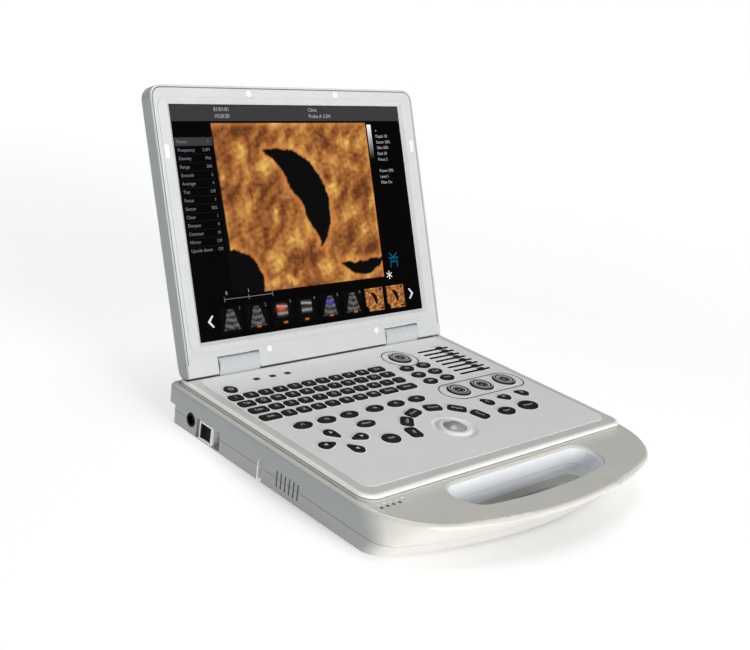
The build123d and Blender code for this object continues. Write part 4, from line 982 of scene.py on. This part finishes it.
picture("display_grey_scale", 101.5, 107.5, 170, 208, 1.0,
        lambda x, z: np.stack([np.clip((z - 170) / 38, 0, 1) ** 1.5] * 3, -1), amber_look, 0.04)

ui = {
    "white": (glowing("display_white", rgb(226, 228, 230)), bmesh.new()),
    "pale": (glowing("display_pale", rgb(176, 178, 182)), bmesh.new()),
    "grey": (glowing("display_grey", rgb(122, 126, 132)), bmesh.new()),
    "dim": (glowing("display_dim", rgb(48, 48, 50)), bmesh.new()),
    "bar": (glowing("display_bar", rgb(60, 60, 62)), bmesh.new()),
    "teal": (glowing("display_teal", rgb(8, 96, 122)), bmesh.new()),
    "orange": (glowing("display_orange", rgb(170, 96, 36)), bmesh.new()),
}
STAND = Matrix.Rotation(radians(90), 4, "X")


def ui_box(tone, x0, x1, z0, z1, lift=0.03):
    skinned([upright_loop([(x0, LCD_Z + z0), (x1, LCD_Z + z0), (x1, LCD_Z + z1), (x0, LCD_Z + z1)], y)
             for y in (GLASS_Y, GLASS_Y - lift)], ui[tone][1])


def ui_text(tone, text, x, z, size, align="LEFT"):
    where = Matrix.Translation((x, GLASS_Y - 0.05, LCD_Z + z)) @ STAND
    lettering(ui[tone][1], text, size, where, 0.03, align)


def ui_shape(tone, points):
    """Flat shape of any outline, in millimetres above the picture's lower edge."""
    outline = [(x, LCD_Z + z) for x, z in points]
    skinned([upright_loop(outline, y) for y in (GLASS_Y, GLASS_Y - 0.05)], ui[tone][1])


ui_box("bar", -152, 152, 212, 228)
ui_text("pale", "01/01/01", -101, 223.4, 5.4)
ui_text("pale", "10:20:30", -101, 216.8, 5.4)
ui_text("pale", "Clinic", 20, 223.4, 5.4)
ui_text("pale", "Probe A 3.5M", 20, 216.8, 5.4)
MENU = (("Power", "1"), ("Frequency", "5.0M"), ("Density", "Mid"), ("Range", "200"), ("Smooth", "2"),
        ("Average", "4"), ("Tint", "Off"), ("Focus", "1"), ("Sector", "50%"), ("Clear", "1"),
        ("Sharpen", "0"), ("Contrast", "10"), ("Mirror", "Off"), ("Upside down", "Off"))
ui_box("bar", -151.5, -107.5, 188.4, 196.4)
for i, (label, value) in enumerate(MENU):
    z = 192.3 - 8.05 * i
    ui_text("grey", label, -149.0, z, 4.7)
    ui_text("grey", value, -111.5, z, 4.4, "RIGHT")
    if i:
        ui_box("dim", -150.5, -109, z + 3.9, z + 4.05, 0.02)
for z, text in ((201, "+"), (195, "Depth 10"), (188.6, "Sector 50%"), (182.4, "Gain 50%"), (176, "Rate 20"),
                (169.6, "Focus 5"), (157, "Power 50%"), (150.6, "Level 1"), (144.2, "Filter On")):
    ui_text("pale", text, 113.0, z, 4.6)
for x in (-118, -88, -58):
    ui_box("grey", x - 0.3, x + 0.3, 35.6, 40.6)
ui_box("grey", -118, -58, 37.8, 38.4)
for x, text in ((-116, "0"), (-89, "1"), (-62, "2")):
    ui_text("pale", text, x, 44.0, 5.0)
for i in range(3):  # a plain star
    turn = radians(60 * i + 30)
    c, s = cos(turn), sin(turn)
    arm = [(-4.6, -0.55), (4.6, -0.55), (4.6, 0.55), (-4.6, 0.55)]
    ui_shape("white", [(107.5 + px * c - py * s, 42 + px * s + py * c) for px, py in arm])
for side in (-1, 1):
    arrow = [(141, 18.5), (135.5, 24.5), (133.6, 24.0), (138, 18.5), (133.6, 13.0), (135.5, 12.5)]
    ui_shape("white", [(side * x, z) for x, z in arrow])
for stroke in (  # body mark of the animal: ears, back, belly and legs
        ((111, 66), (117, 61)), ((123, 66), (117, 61)), ((110, 60.5), (124.5, 60.5)), ((112, 56), (123, 56)),
        ((113, 60.5), (112, 50)), ((121.5, 60.5), (122.5, 50)), ((117, 61), (117, 56))):
    (ax, az), (bx, bz) = stroke
    across = Vector((bz - az, ax - bx)).normalized() * 0.55
    corners = [(ax + across.x, az + across.y), (bx + across.x, bz + across.y), (bx - across.x, bz - across.y),
               (ax - across.x, az - across.y)]
    ui_shape("teal", corners)
for i in range(8):
    x = THUMB_X0 + THUMB_PITCH * i
    if i < 6:
        ui_text("grey", str(i + 1), x + 10.5, 28.0, 4.6)
        ui_box("dim", x - 10, x + 10, 7.2, 7.8)
        if i:
            ui_box("orange", x - 4.0 + 2 * (i % 3), x + 1.4 + 2 * (i % 3), 6.4, 8.6, 0.05)
    else:
        ui_box("dim", x + 8.4, x + 11.6, 26.0, 29.4, 0.06)
for tone, (look, bm) in ui.items():
    piece(f"display_ui_{tone}", bm, look, "lid", place=LID)
